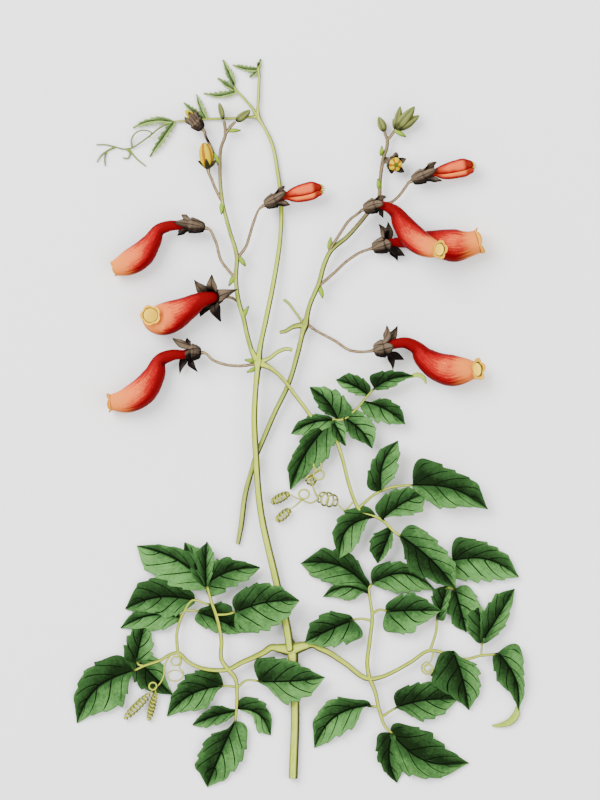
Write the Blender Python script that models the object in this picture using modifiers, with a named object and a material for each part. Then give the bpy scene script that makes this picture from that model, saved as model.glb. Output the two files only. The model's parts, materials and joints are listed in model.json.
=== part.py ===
"""Cut flowering shoot of the Chilean glory flower, laid on a flat surface.

Points and sizes are in millimetres on the surface that the shoot lies on: x to the right and y up the
shoot from the lower left corner of a 150 x 200 mm sheet, z up from the surface. placed() turns them
into metres round the middle of the shoot's own box. A path point is (x, y, z, radius).
"""

import math

import bmesh
import bpy
from mathutils import Vector

MM = 0.001
WELD = 0.00001
SHEET_MIDDLE = Vector((75.0, 94.2, 0.0))
GAP = 0.3
BLADE = 0.6
WALL = 0.6
TENDRIL = 0.26

THREAD_STEP = 0.015
LEAST_RADIUS = 0.1
COIL_THICKNESS = 0.24
COIL_CORNERS = 5
COIL_ROUNDNESS = 0.4
PEDICEL_RADIUS = 0.36
PEDICEL_STRAIGHT = 1.0

# A stalk has 4 + 2 x this many flat sides
STEM_SIDES = 2
STALK_SIDES = 1
THREAD_SIDES = 0
PETAL_SIDES = 10
SEPAL_SIDES = 10
LOBES = 5

# Where a leaf edge's distances are given, as parts of the way from base to tip
EDGE_PARTS = (0.0, 0.12, 0.4, 0.75, 1.0)
LEAST_HALF_WIDTH = 0.22
ARCH = 0.06
FOLD = 0.1
# A blade's cross lines by its number of teeth: how far along each lies and how a tooth changes the width
BLADE_ROWS = {
    1: ((0.0, 1.0), (0.25, 1.0), (0.65, 1.0), (1.0, 1.0)),
    2: ((0.0, 1.0), (0.13, 1.0), (0.42, 1.08), (0.54, 0.9), (0.78, 1.1), (1.0, 1.0)),
    3: ((0.0, 1.0), (0.12, 1.0), (0.34, 1.08), (0.44, 0.9), (0.64, 1.08), (0.76, 0.95), (1.0, 1.0)),
}

# Inside the calyx: the petals' shut end and their waist
ROOT_RADIUS = 0.4
WAIST_RADIUS = 0.45
WAIST_BEHIND_RIM = 0.3
LOBE_LEAST = 0.35
LOBE_ROUNDNESS = 0.8
# The calyx cup's rows: how far up it lies and how wide it is there
CUP_ROWS = ((0.0, 0.5), (0.3, 0.98), (1.0, 1.0))
SEPAL_TIP = 0.12
SEPAL_TAPER = 0.6
# How far a sepal first runs on from the cup, and how far it leans to its tip there
SEPAL_ONWARD = 0.4
SEPAL_LEAN = 0.2
BUD_RIB = 0.06
SHARP_ANGLE = 40

STEM_GREEN = (0.60, 0.68, 0.24)
PEDICEL_GREEN = (0.50, 0.52, 0.26)
LEAF_GREEN = (0.06, 0.22, 0.05)
YOUNG_GREEN = (0.16, 0.26, 0.10)
PETAL_RED = (0.72, 0.05, 0.03)
PETAL_YELLOW = (0.80, 0.60, 0.14)
SEPAL_BROWN = (0.12, 0.08, 0.06)
BUD_OLIVE = (0.30, 0.30, 0.12)

MAIN_STEM = [
    (73.25, 5.5, 1.15, 1.12), (73.75, 24, 1.2, 1.1), (73.4, 33, 1.7, 1.1), (73.0, 37.6, 2.3, 1.35),
    (71.9, 42, 2.35, 1.05), (69, 55, 2.6, 0.95), (65, 73.5, 3.2, 0.86), (64, 86.25, 3.7, 0.8),
    (63.6, 96, 3.8, 0.76), (64.2, 105.5, 3.7, 0.8), (64.5, 109.25, 3.7, 1.35), (65.0, 112.8, 3.6, 0.78),
    (66.5, 120, 3.3, 0.65), (68.5, 130, 2.6, 0.62), (70, 140, 1.7, 0.56), (70.3, 148, 1.1, 0.52),
    (69.5, 156.25, 1.0, 0.48), (67.6, 165, 1.1, 0.46), (64.5, 170.75, 1.2, 0.75),
    (64.6, 174.5, 1.1, 0.42), (64.8, 181, 0.9, 0.34),
]
LEFT_LEAF_STUB = [(73.0, 37.6, 2.3, 1.3), (70.4, 37.9, 2.3, 1.15), (69.0, 38.1, 2.3, 1.0)]
RIGHT_LEAF_STUB = [(73.0, 37.6, 2.3, 1.3), (75.6, 38.5, 2.3, 1.15), (77.0, 38.8, 2.3, 1.0)]
UPPER_LEAF_STUB = [(64.5, 109.25, 3.7, 1.0), (66.4, 108.6, 3.9, 0.8), (67.3, 108.1, 4.0, 0.65)]
LEFT_RACEME_STUB = [(64.5, 109.25, 3.7, 1.0), (63.4, 111.4, 3.7, 0.75), (62.9, 112.5, 3.7, 0.65)]
CUT_STALK_STUB = [
    (64.5, 109.25, 3.7, 0.7), (67.5, 110.5, 4.2, 0.5), (69.5, 112, 4.3, 0.5), (71.75, 112.75, 4.2, 0.5),
    (73.0, 112.5, 4.0, 0.45),
]
NODE_BRACTS = [
    ((64.0, 109.6, 3.7), (61.2, 110.0, 4.6), 0.5),
    ((64.0, 107.9, 3.7), (61.7, 106.9, 4.4), 0.45),
]
TOP_STUBS = [
    [(64.5, 170.75, 1.2, 0.5), (63.6, 171.9, 1.1, 0.4), (63.3, 172.5, 1.05, 0.36)],
    [(64.5, 170.75, 1.2, 0.5), (63.2, 170.7, 1.1, 0.4), (62.4, 170.65, 1.0, 0.36)],
]

LEFT_RACEME = [
    (62.72, 112.9, 3.7, 0.62), (61.75, 116.5, 3.7, 0.6), (61, 120, 3.7, 0.6), (59.6, 125, 3.6, 0.58),
    (59, 130, 3.6, 0.56), (59.2, 136, 3.5, 0.55), (57.5, 142, 3.4, 0.5), (55.75, 148.75, 3.2, 0.47),
    (55, 157.5, 3.0, 0.44), (55.3, 163, 2.8, 0.42), (56.4, 166.4, 2.7, 0.42), (56.0, 169.6, 2.5, 0.38),
]
LEFT_TIP_FORK = [(56.3, 166.2, 2.7, 0.4), (57.75, 168.3, 2.7, 0.36), (58.75, 169.3, 2.7, 0.34)]

RIGHT_RACEME = [
    (59.5, 63.75, 0.75, 0.3), (60.1, 67.5, 0.9, 0.6), (61.5, 77.25, 1.5, 0.65),
    (62.75, 81.75, 1.75, 0.65), (64, 86, 1.92, 0.65), (65.5, 89.5, 2.0, 0.65), (68.75, 97, 2.2, 0.65),
    (72, 103.75, 2.4, 0.64), (74.5, 112, 2.9, 0.66), (76.2, 118.75, 3.2, 1.15), (77.2, 123, 3.2, 0.64),
    (79.75, 129.25, 3.1, 0.62), (81, 133.75, 3.0, 0.62), (82.5, 137, 3.0, 0.6),
    (86.75, 140.75, 2.9, 0.58), (91.75, 146.5, 2.6, 0.54), (94.5, 150, 2.3, 0.5), (95, 155, 2.2, 0.46),
    (95.6, 159.5, 2.2, 0.44), (96.75, 165, 2.2, 0.42), (96.2, 166.6, 2.2, 0.36),
]
RIGHT_TIP_FORK = [(96.7, 164.8, 2.2, 0.4), (98, 166.3, 2.2, 0.36), (98.8, 167.6, 2.2, 0.34)]
RIGHT_CUT_STUB = [
    (76.2, 118.75, 3.2, 0.9), (73.25, 118.25, 3.3, 0.62), (71.2, 117.1, 3.4, 0.5), (70, 116.9, 3.4, 0.42),
]
RIGHT_THREAD_STUB = [
    (75.9, 119, 3.2, 0.4), (73.75, 122, 3.6, 0.3), (71.6, 124.6, 3.9, 0.36), (71, 125, 3.9, 0.34),
]

# The stalks of flowers and buds: each ends where its calyx or bud begins, less the gap
MAIN_PEDICELS = {
    "flower_left_lower": [(64.2, 109.0, 3.7), (60, 108.5, 3.9), (56.75, 108.75, 4.1), (53.25, 110, 4.3)],
}
LEFT_PEDICELS = {
    "flower_left_upper": [(59.0, 130.3, 3.6), (57, 132.5, 3.8), (55.5, 134.5, 4.0), (53.75, 140, 4.1)],
    "flower_left_middle": [(60.7, 121.8, 3.7), (59.4, 124.6, 2.7), (57.6, 125.6, 2.0), (56.4, 125.75, 1.9)],
    "red_bud_left": [(59.3, 135.3, 3.5), (61.5, 138.25, 3.5), (62.5, 141.25, 3.7), (63.5, 144.5, 3.9)],
    "bud_left_brown": [(54.9, 158.6, 2.9), (53.6, 161.2, 0.9), (52.25, 164.25, 0.9), (51.4, 166.0, 2.6)],
    "bud_left_yellow": [(55.7, 149.3, 3.2), (54, 152.5, 3.3), (52.75, 155.5, 3.4)],
}
RIGHT_PEDICELS = {
    "flower_right_lower": [
        (76.75, 119, 3.2), (78, 118, 3.4), (83.25, 115, 4.0), (88, 112.25, 4.1), (90.5, 112, 4.1),
    ],
    "flower_right_middle": [(79.9, 128.6, 3.1), (83, 131.25, 3.0), (87.5, 135.25, 2.7), (90.4, 137.0, 2.5)],
    "flower_right_upper": [(82.3, 137.3, 3.1), (84.6, 140.9, 4.4), (87.4, 144.9, 5.2), (90.0, 146.9, 6.2)],
    "red_bud_right": [(94.5, 149.4, 2.3), (97.5, 149.25, 2.3), (99.25, 150.5, 2.8), (101.25, 153, 3.2)],
    "bud_right_star": [(95.3, 157.2, 2.2), (95.7, 159.0, 2.4)],
}
LEFT_BRACTS = [
    ((58.8, 131.2, 3.6), (57.2, 128.4, 3.4), 0.5),
    ((59.9, 135.6, 3.6), (61.4, 133.4, 3.4), 0.5),
    ((60.6, 120.6, 3.7), (62.2, 123.4, 4.2), 0.5),
    ((55.5, 149.0, 3.3), (55.4, 146.2, 4.2), 0.45),
    ((57.1, 167.2, 2.7), (60.2, 167.3, 2.4), 0.4),
    ((54.9, 159.0, 3.0), (53.4, 161.8, 3.2), 0.4),
]
RIGHT_BRACTS = [
    ((79.9, 128.3, 3.1), (80.7, 125.4, 3.4), 0.5),
    ((82.3, 137.6, 3.0), (82.7, 140.6, 2.2), 0.5),
    ((94.9, 152.6, 2.3), (94.4, 155.2, 3.0), 0.5),
    ((95.4, 161.0, 2.2), (95.4, 163.4, 3.0), 0.45),
    ((97.5, 165.8, 2.2), (101.2, 166.0, 2.2), 0.45),
]

# Calyx: where its stalk meets it, the middle of its rim, the rim's radius and the five sepal tips
# Petals: path from inside the calyx to the mouth, then how far the lip spreads and reaches forward
FLOWERS = {
    "flower_left_upper": {
        "base": (51.2, 142.9, 4.1), "rim": (47.6, 143.6, 4.1), "radius": 1.45,
        "tips": [
            (45.4, 146.2, 4.4), (43.6, 144.2, 6.5), (44.4, 140.9, 5.0), (44.6, 141.9, 1.8),
            (45.2, 144.8, 1.7),
        ],
        "petals": [
            (45.0, 143.5, 4.1, 0.6), (42.0, 143.0, 4.0, 1.15), (39.4, 141.0, 3.75, 2.05),
            (36.7, 138.3, 3.25, 3.0), (33.4, 135.2, 2.9, 3.0), (29.6, 133.3, 2.9, 1.9),
            (28.2, 132.7, 2.9, 1.7),
        ],
        "lip": (0.35, 0.7),
    },
    "flower_left_middle": {
        "base": (55.4, 125.9, 2.0), "rim": (53.5, 125.6, 4.3), "radius": 1.5,
        "tips": [
            (53.1, 131.2, 5.8), (48.6, 130.0, 5.2), (50.2, 120.9, 2.2), (55.3, 119.6, 4.4),
            (59.6, 127.6, 5.6),
        ],
        "petals": [
            (52.8, 125.5, 5.3, 0.8), (50.6, 124.9, 6.0, 1.35), (47.0, 122.9, 5.0, 2.6),
            (43.6, 121.0, 3.7, 3.7), (40.2, 120.4, 3.9, 3.9), (38.0, 120.8, 5.7, 3.3),
            (37.8, 121.1, 8.1, 1.9),
        ],
        "lip": (1.0, 0.35),
    },
    "flower_left_lower": {
        "base": (50.2, 111.8, 4.3), "rim": (48.0, 111.9, 4.3), "radius": 1.45,
        "tips": [
            (46.8, 115.6, 4.6), (43.2, 115.4, 5.6), (45.0, 106.4, 2.6), (49.6, 106.9, 4.6),
            (46.6, 110.4, 7.6),
        ],
        "petals": [
            (46.2, 111.3, 4.1, 0.6), (43.6, 110.6, 3.9, 1.25), (40.3, 108.4, 3.5, 2.45),
            (37.2, 105.5, 3.1, 3.2), (33.8, 102.4, 2.85, 2.9), (29.8, 99.9, 2.8, 2.0),
            (27.6, 99.2, 2.9, 1.75),
        ],
        "lip": (0.6, 0.6),
    },
    "flower_right_upper": {
        "base": (91.0, 147.4, 6.6), "rim": (93.7, 148.4, 7.0), "radius": 1.45,
        "tips": [
            (96.4, 150.5, 7.2), (95.8, 148.6, 9.7), (95.7, 145.2, 8.0), (95.6, 146.4, 4.9),
            (95.8, 149.8, 4.7),
        ],
        "petals": [
            (95.6, 148.2, 7.3, 0.5), (98.2, 147.3, 7.7, 1.2), (100.6, 144.9, 8.2, 2.2),
            (103.0, 141.7, 8.8, 3.0), (105.8, 138.9, 9.5, 2.85), (108.2, 137.6, 10.6, 2.1),
            (109.5, 137.3, 11.9, 1.35),
        ],
        "lip": (0.85, 0.3),
    },
    "flower_right_middle": {
        "base": (93.2, 137.9, 2.4), "rim": (96.2, 138.8, 2.6), "radius": 1.45,
        "tips": [
            (96.9, 144.6, 2.6), (94.6, 143.8, 4.9), (97.8, 139.2, 4.9), (101.2, 135.9, 3.2),
            (99.4, 134.6, 1.2),
        ],
        "petals": [
            (98.6, 139.2, 2.3, 0.6), (101.8, 139.6, 2.0, 1.1), (106.0, 139.6, 2.6, 2.2),
            (110.4, 138.9, 3.5, 3.4), (113.8, 138.5, 3.8, 3.8), (117.2, 138.9, 3.7, 2.9),
            (119.0, 139.4, 3.6, 2.6),
        ],
        "lip": (0.7, 0.9),
    },
    "flower_right_lower": {
        "base": (93.5, 112.4, 4.1), "rim": (95.8, 112.9, 4.1), "radius": 1.45,
        "tips": [
            (99.3, 118.6, 4.6), (96.6, 118.7, 5.6), (98.4, 113.4, 7.2), (101.0, 110.0, 3.6),
            (98.2, 107.3, 2.6),
        ],
        "petals": [
            (98.6, 113.8, 4.1, 0.65), (101.6, 114.0, 4.0, 1.2), (104.6, 112.6, 3.9, 2.1),
            (108.0, 110.0, 3.7, 3.1), (112.2, 107.5, 3.8, 3.85), (116.4, 107.3, 4.3, 2.8),
            (119.0, 107.45, 4.7, 1.6),
        ],
        "lip": (1.4, 1.5),
    },
    "red_bud_left": {
        "base": (66.3, 148.6, 4.0), "rim": (68.8, 149.8, 4.1), "radius": 1.4,
        "tips": [
            (71.2, 153.3, 4.3), (71.6, 152.0, 6.2), (72.6, 148.6, 5.2), (72.0, 149.2, 2.5),
            (71.2, 152.4, 2.3),
        ],
        "petals": [
            (71.3, 150.7, 4.1, 0.65), (73.6, 151.4, 4.1, 1.25), (76.6, 152.1, 4.1, 1.75),
            (78.6, 152.6, 4.1, 1.55), (79.6, 152.7, 4.1, 0.95),
        ],
        "lip": (0.2, 0.35),
    },
    "red_bud_right": {
        "base": (103.1, 154.7, 3.5), "rim": (105.8, 155.9, 3.7), "radius": 1.4,
        "tips": [
            (109.0, 159.3, 4.2), (109.2, 157.6, 5.9), (110.4, 154.6, 4.6), (109.0, 155.4, 1.9),
            (108.6, 158.4, 2.0),
        ],
        "petals": [
            (108.2, 156.6, 3.7, 0.65), (110.8, 157.1, 3.7, 1.2), (114.0, 157.8, 3.7, 1.7),
            (116.4, 158.3, 3.7, 1.6), (117.3, 158.4, 3.7, 1.1),
        ],
        "lip": (0.2, 0.4),
    },
}

# Small buds: where the stalk meets it, its tip, its greatest radius and how blunt it is
BUDS = {
    "bud_left_yellow": ((52.1, 157.3, 3.6), (50.9, 164.6, 3.4), 1.85, 0.55, PETAL_YELLOW),
    "bud_left_tip": ((55.85, 169.92, 2.4), (54.8, 174.2, 2.2), 0.8, 0.8, BUD_OLIVE),
    "bud_left_oval": ((59.0, 169.53, 2.7), (62.6, 172.3, 2.9), 1.1, 0.7, BUD_OLIVE),
    "bud_right_oval": ((96.1, 166.94, 2.2), (94.6, 170.7, 2.2), 1.25, 0.6, BUD_OLIVE),
    "bud_left_brown_petals": ((49.6, 168.6, 3.35), (46.5, 172.3, 3.5), 0.8, 0.7, PETAL_YELLOW),
    "bud_right_star_petals": ((98.1, 159.1, 3.3), (100.5, 157.8, 4.1), 1.0, 0.6, PETAL_YELLOW),
}
BUD_CALYCES = {
    "bud_left_brown_calyx": {
        "base": (50.5, 167.7, 3.2), "rim": (49.0, 169.2, 3.4), "radius": 1.25,
        "tips": [
            (49.4, 172.4, 3.8), (47.4, 171.8, 5.2), (45.6, 170.6, 3.9), (46.8, 170.2, 2.2),
            (48.6, 172.2, 2.2),
        ],
    },
    "bud_right_star_calyx": {
        "base": (97.3, 159.5, 3.0), "rim": (98.5, 158.9, 3.4), "radius": 1.6,
        "tips": [
            (99.4, 162.2, 3.4), (101.9, 160.6, 2.2), (101.0, 156.3, 2.6), (98.2, 156.2, 4.4),
            (99.0, 159.6, 6.2),
        ],
    },
    "bud_right_cluster": {
        "base": (98.94, 167.9, 2.25), "rim": (100.5, 169.7, 2.5), "radius": 1.25,
        "tips": [
            (100.2, 173.4, 2.9), (102.6, 173.2, 4.6), (105.0, 171.6, 3.0), (103.8, 169.4, 1.6),
            (99.5, 171.5, 1.0),
        ],
    },
}

# Leaf stalks as paths, then blades as (base, tip, bend, left edge, right edge, teeth). Left is to the left
# of a walk from base to tip. An edge is its distance from the straight line from base to tip near the base,
# in the middle and near the tip; a negative one lies across that line. The midrib bows left by the bend.
LEFT_LEAF = {
    "stalks": [
        [(68.65, 38.15, 2.3, 0.95), (67.8, 38.2, 2.35, 0.9), (66.3, 37.2, 2.5, 0.82),
         (63.75, 35.9, 2.5, 0.72),
         (60.5, 34.5, 2.5, 0.65), (57.2, 32.8, 2.5, 0.62), (53.25, 32.6, 2.4, 0.55),
         (50, 33.2, 2.3, 0.5), (47, 34.7, 2.3, 0.48),
         (44.5, 36.9, 2.3, 0.46), (42.5, 36.4, 2.2, 0.42), (40.5, 35.2, 2.1, 0.4), (36, 33.6, 1.9, 0.36),
         (33, 32.1, 1.7, 0.32)],
        [(57, 32.8, 2.5, 0.6), (55.5, 35, 2.8, 0.55), (55.4, 40, 3.0, 0.5), (54.2, 46, 3.1, 0.46),
         (52.8, 50, 3.1, 0.42), (51.6, 54.4, 3.1, 0.36)],
        [(57.2, 32.6, 2.5, 0.58), (58.6, 31, 2.4, 0.52), (59.3, 26, 2.0, 0.46), (59, 21.5, 1.6, 0.36),
         (58.7, 19.0, 1.5, 0.32)],
        [(44.5, 36.9, 2.3, 0.42), (44.3, 42, 2.4, 0.38), (46, 47, 2.4, 0.34), (48.2, 50, 2.4, 0.32),
         (51.5, 49.2, 2.8, 0.3), (53.2, 48.9, 3.1, 0.3)],
        [(54.1, 46.4, 3.1, 0.34), (57, 46.6, 3.6, 0.3), (59.6, 47.4, 4.2, 0.3)],
        [(46.4, 47.4, 2.4, 0.32), (49, 47.4, 2.0, 0.28), (50.4, 47.0, 1.8, 0.26)],
        [(45.6, 46.6, 2.4, 0.3), (44.6, 45.6, 1.6, 0.28)],
        [(59.1, 28.4, 2.1, 0.36), (57, 28.6, 2.1, 0.3), (54.8, 28.6, 2.0, 0.3)],
        [(59.3, 28.2, 2.1, 0.36), (61.5, 30, 2.8, 0.3), (65.4, 29.8, 3.5, 0.3)],
        [(36, 33.6, 1.9, 0.34), (34.6, 34.0, 1.8, 0.3), (34.2, 35.4, 1.8, 0.3)],
    ],
    "blades": [
        ((51.8, 54.0, 3.2), (34.3, 63.5, 0.6), -1.9, (2.6, 4.6, 4.2), (3.0, 5.0, 3.1), 3),
        ((51.5, 53.6, 3.7), (46.2, 64.4, 1.6), 0.0, (1.0, 1.8, 1.6), (1.5, 2.8, 2.6), 2),
        ((51.6, 53.8, 4.0), (51.8, 64.6, 2.2), 0.2, (1.0, 2.4, 2.4), (0.9, 1.7, 1.7), 2),
        ((51.6, 54.3, 3.2), (65.0, 58.2, 2.6), 1.3, (3.4, 5.1, 2.6), (3.6, 2.9, 2.0), 2),
        ((59.0, 47.2, 4.2), (74.8, 50.0, 4.6), 1.1, (4.4, 6.2, 4.3), (5.4, 5.9, 3.8), 3),
        ((49.6, 47.0, 1.8), (61.3, 42.0, 0.8), 0.3, (2.0, 4.8, 3.2), (2.6, 3.0, 1.9), 2),
        ((48.6, 50.0, 2.4), (31.4, 47.8, 0.5), -2.0, (1.6, 3.6, 1.8), (3.3, 7.0, 6.0), 3),
        ((45.4, 45.8, 1.6), (30.2, 43.0, 0.4), -1.9, (1.1, 2.3, 0.9), (1.4, 3.4, 3.3), 2),
        ((34.0, 34.3, 1.8), (36.5, 44.8, 0.6), 0.2, (3.2, 3.9, 2.8), (3.4, 3.5, 2.0), 2),
        ((34.2, 35.2, 1.8), (43.0, 26.5, 0.5), 0.0, (3.1, 3.8, 1.3), (2.9, 4.5, 2.6), 2),
        ((33.3, 32.4, 1.8), (19.3, 19.3, 0.3), -3.1, (0.9, 4.6, 1.4), (6.2, 8.2, 6.0), 3),
        ((55.8, 28.7, 2.0), (41.8, 21.0, 0.4), -2.0, (0.4, 2.9, 1.0), (5.2, 6.8, 4.4), 3),
        ((64.8, 29.8, 3.5), (81.2, 30.8, 3.3), -0.3, (5.8, 5.3, 2.6), (1.3, 6.0, 4.4), 3),
        ((59.2, 22.4, 1.7), (48.2, 18.8, 0.4), -0.5, (0.9, 1.8, 1.7), (0.9, 2.9, 1.9), 2),
        ((58.9, 23.0, 1.7), (67.6, 16.3, 0.5), 2.4, (4.1, 5.6, 3.9), (-0.5, -1.1, 1.2), 2),
        ((58.8, 19.8, 1.6), (51.8, 3.3, 0.3), -0.3, (3.9, 5.4, 4.0), (0.8, 5.1, 5.2), 3),
    ],
    "threads": [
        [(42.5, 36.2, 2.2), (41.2, 33.8, 2.4), (41, 31.2, 2.6), (40, 29.2, 2.7), (38.6, 27.9, 2.8),
         (37.4, 26.6, 2.0)],
        [(38.8, 28.2, 2.8), (39.1, 25.6, 1.6), (38.2, 23.4, 0.7), (37.2, 20.2, 0.4)],
    ],
    "coils": [
        ((37.5, 26.7, 1.9), (31.2, 20.4, 0.9), 0.62, 6),
    ],
}

RIGHT_LEAF = {
    "stalks": [
        [(77.35, 38.87, 2.3, 0.95), (78.2, 39.0, 2.35, 0.9), (79.7, 38.2, 2.5, 0.82),
         (82.5, 36.8, 2.5, 0.75),
         (86.25, 34.3, 2.5, 0.68), (92.5, 30.4, 2.5, 0.62), (95, 30.8, 2.4, 0.55),
         (98.75, 32.4, 2.3, 0.5), (102.5, 34.5, 2.2, 0.48),
         (107.5, 37.5, 2.2, 0.44), (111, 36.9, 2.2, 0.4), (115.5, 35.3, 2.2, 0.38),
         (120.2, 36.2, 2.2, 0.35),
         (124.5, 36.6, 2.2, 0.32)],
        [(92.3, 30.6, 2.5, 0.58), (91.8, 33.5, 2.6, 0.54), (92.4, 40, 2.6, 0.5), (93, 46, 2.4, 0.44),
         (92.5, 50, 2.0, 0.38), (92, 52.6, 1.7, 0.34)],
        [(92.3, 30.6, 2.5, 0.58), (93.6, 27.6, 2.3, 0.52), (94.8, 22.6, 2.0, 0.46), (96.6, 18, 1.6, 0.38),
         (98.6, 16.4, 1.5, 0.34)],
        [(107.5, 37.5, 2.2, 0.38), (109, 42.4, 2.0, 0.34), (109.3, 46, 1.8, 0.32)],
        [(92.6, 45.0, 2.5, 0.36), (90.6, 45.4, 2.8, 0.32), (87.4, 45.1, 3.2, 0.3)],
        [(93, 46.6, 2.4, 0.36), (94.6, 47.6, 2.4, 0.32), (97.4, 47.2, 2.4, 0.3)],
        [(120.2, 36.2, 2.2, 0.32), (120.5, 40.2, 2.2, 0.3)],
        [(94.6, 23.4, 2.0, 0.36), (92, 23.6, 2.0, 0.3)],
        [(95.5, 21, 1.9, 0.36), (98, 22.6, 2.0, 0.32), (99.6, 23.5, 2.0, 0.3)],
        [(111.0, 36.9, 2.2, 0.34), (113.4, 36.6, 2.6, 0.3)],
        [(110.6, 52.2, 1.4, 0.3), (112.4, 53.2, 1.3, 0.3), (114.0, 52.2, 1.3, 0.3)],
        [(110.6, 50.6, 1.9, 0.32), (112.0, 56, 1.6, 0.3), (113.2, 60.4, 1.4, 0.3)],
        [(92.4, 51.0, 1.9, 0.34), (92.3, 53.2, 1.8, 0.32), (93.6, 54.6, 1.8, 0.3)],
    ],
    "blades": [
        ((88.2, 45.2, 3.2), (76.2, 39.6, 3.8), -0.3, (5.0, 4.6, 2.7), (2.2, 4.5, 3.7), 2),
        ((96.6, 47.2, 2.4), (110.2, 47.4, 2.6), 0.3, (2.8, 4.9, 2.7), (5.2, 5.5, 2.4), 2),
        ((92.2, 52.9, 1.7), (75.2, 59.2, 0.5), -2.9, (0.8, 2.0, 2.2), (2.6, 6.6, 5.9), 3),
        ((92.2, 51.6, 1.9), (80.8, 50.8, 0.7), -2.2, (-0.4, 1.3, 0.3), (1.5, 2.6, 2.7), 2),
        ((93.0, 54.3, 1.8), (108.4, 52.8, 0.6), 3.2, (4.7, 6.1, 3.6), (0.8, 1.9, 1.0), 3),
        ((109.3, 45.4, 1.9), (111.8, 53.6, 1.3), 0.0, (0.4, 2.5, 3.2), (1.8, 1.6, 1.6), 2),
        ((113.7, 52.6, 1.4), (116.6, 42.0, 0.5), 0.0, (3.8, 5.0, 2.6), (1.6, 3.2, 2.8), 2),
        ((113.1, 60.0, 1.4), (129.6, 55.8, 1.0), 2.4, (6.2, 6.4, 4.8), (4.2, 3.9, 2.0), 3),
        ((120.5, 39.4, 2.2), (119.4, 49.6, 0.8), 0.0, (1.8, 3.5, 2.9), (0.8, 1.2, 1.2), 2),
        ((120.4, 39.6, 2.2), (128.6, 52.8, 0.6), 0.0, (1.4, 3.8, 3.4), (1.6, 2.9, 1.6), 3),
        ((113.2, 37.4, 2.7), (117.2, 22.6, 0.8), 0.4, (1.2, 5.2, 3.9), (4.3, 7.2, 2.8), 3),
        ((124.4, 36.9, 2.2), (129.6, 22.4, 1.0), 1.9, (5.7, 4.6, 2.9), (1.9, 2.6, 0.2), 3),
        ((92.6, 23.8, 2.0), (78.6, 13.1, 0.4), -3.2, (-0.5, 1.8, 1.1), (3.1, 7.3, 5.8), 3),
        ((99.2, 23.4, 2.0), (114.2, 25.2, 0.7), 0.9, (4.2, 5.4, 4.7), (1.2, 4.4, 3.2), 3),
        ((97.6, 17.1, 1.5), (117.2, 9.3, 0.3), -3.4, (3.0, 3.6, 1.3), (4.5, 8.4, 6.0), 3),
        ((98.0, 16.7, 1.6), (99.2, 4.4, 0.3), -1.4, (1.5, 2.5, 1.9), (3.9, 4.5, 2.9), 2),
    ],
    "threads": [
        [(108.3, 37.4, 2.2), (107.6, 34.8, 2.8), (106.4, 33.6, 3.0)],
    ],
    "coils": [
        ((106.5, 33.6, 3.0), (105.9, 33.2, 4.2), 1.0, 2),
    ],
}
LEAF_CURL = [
    (129.4, 23.4, 1.0, 0.5), (129.0, 21.4, 0.9, 0.9), (127.4, 19.6, 0.9, 0.9), (125.2, 18.8, 0.8, 0.6),
    (123.3, 18.6, 0.6, 0.3),
]

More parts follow.
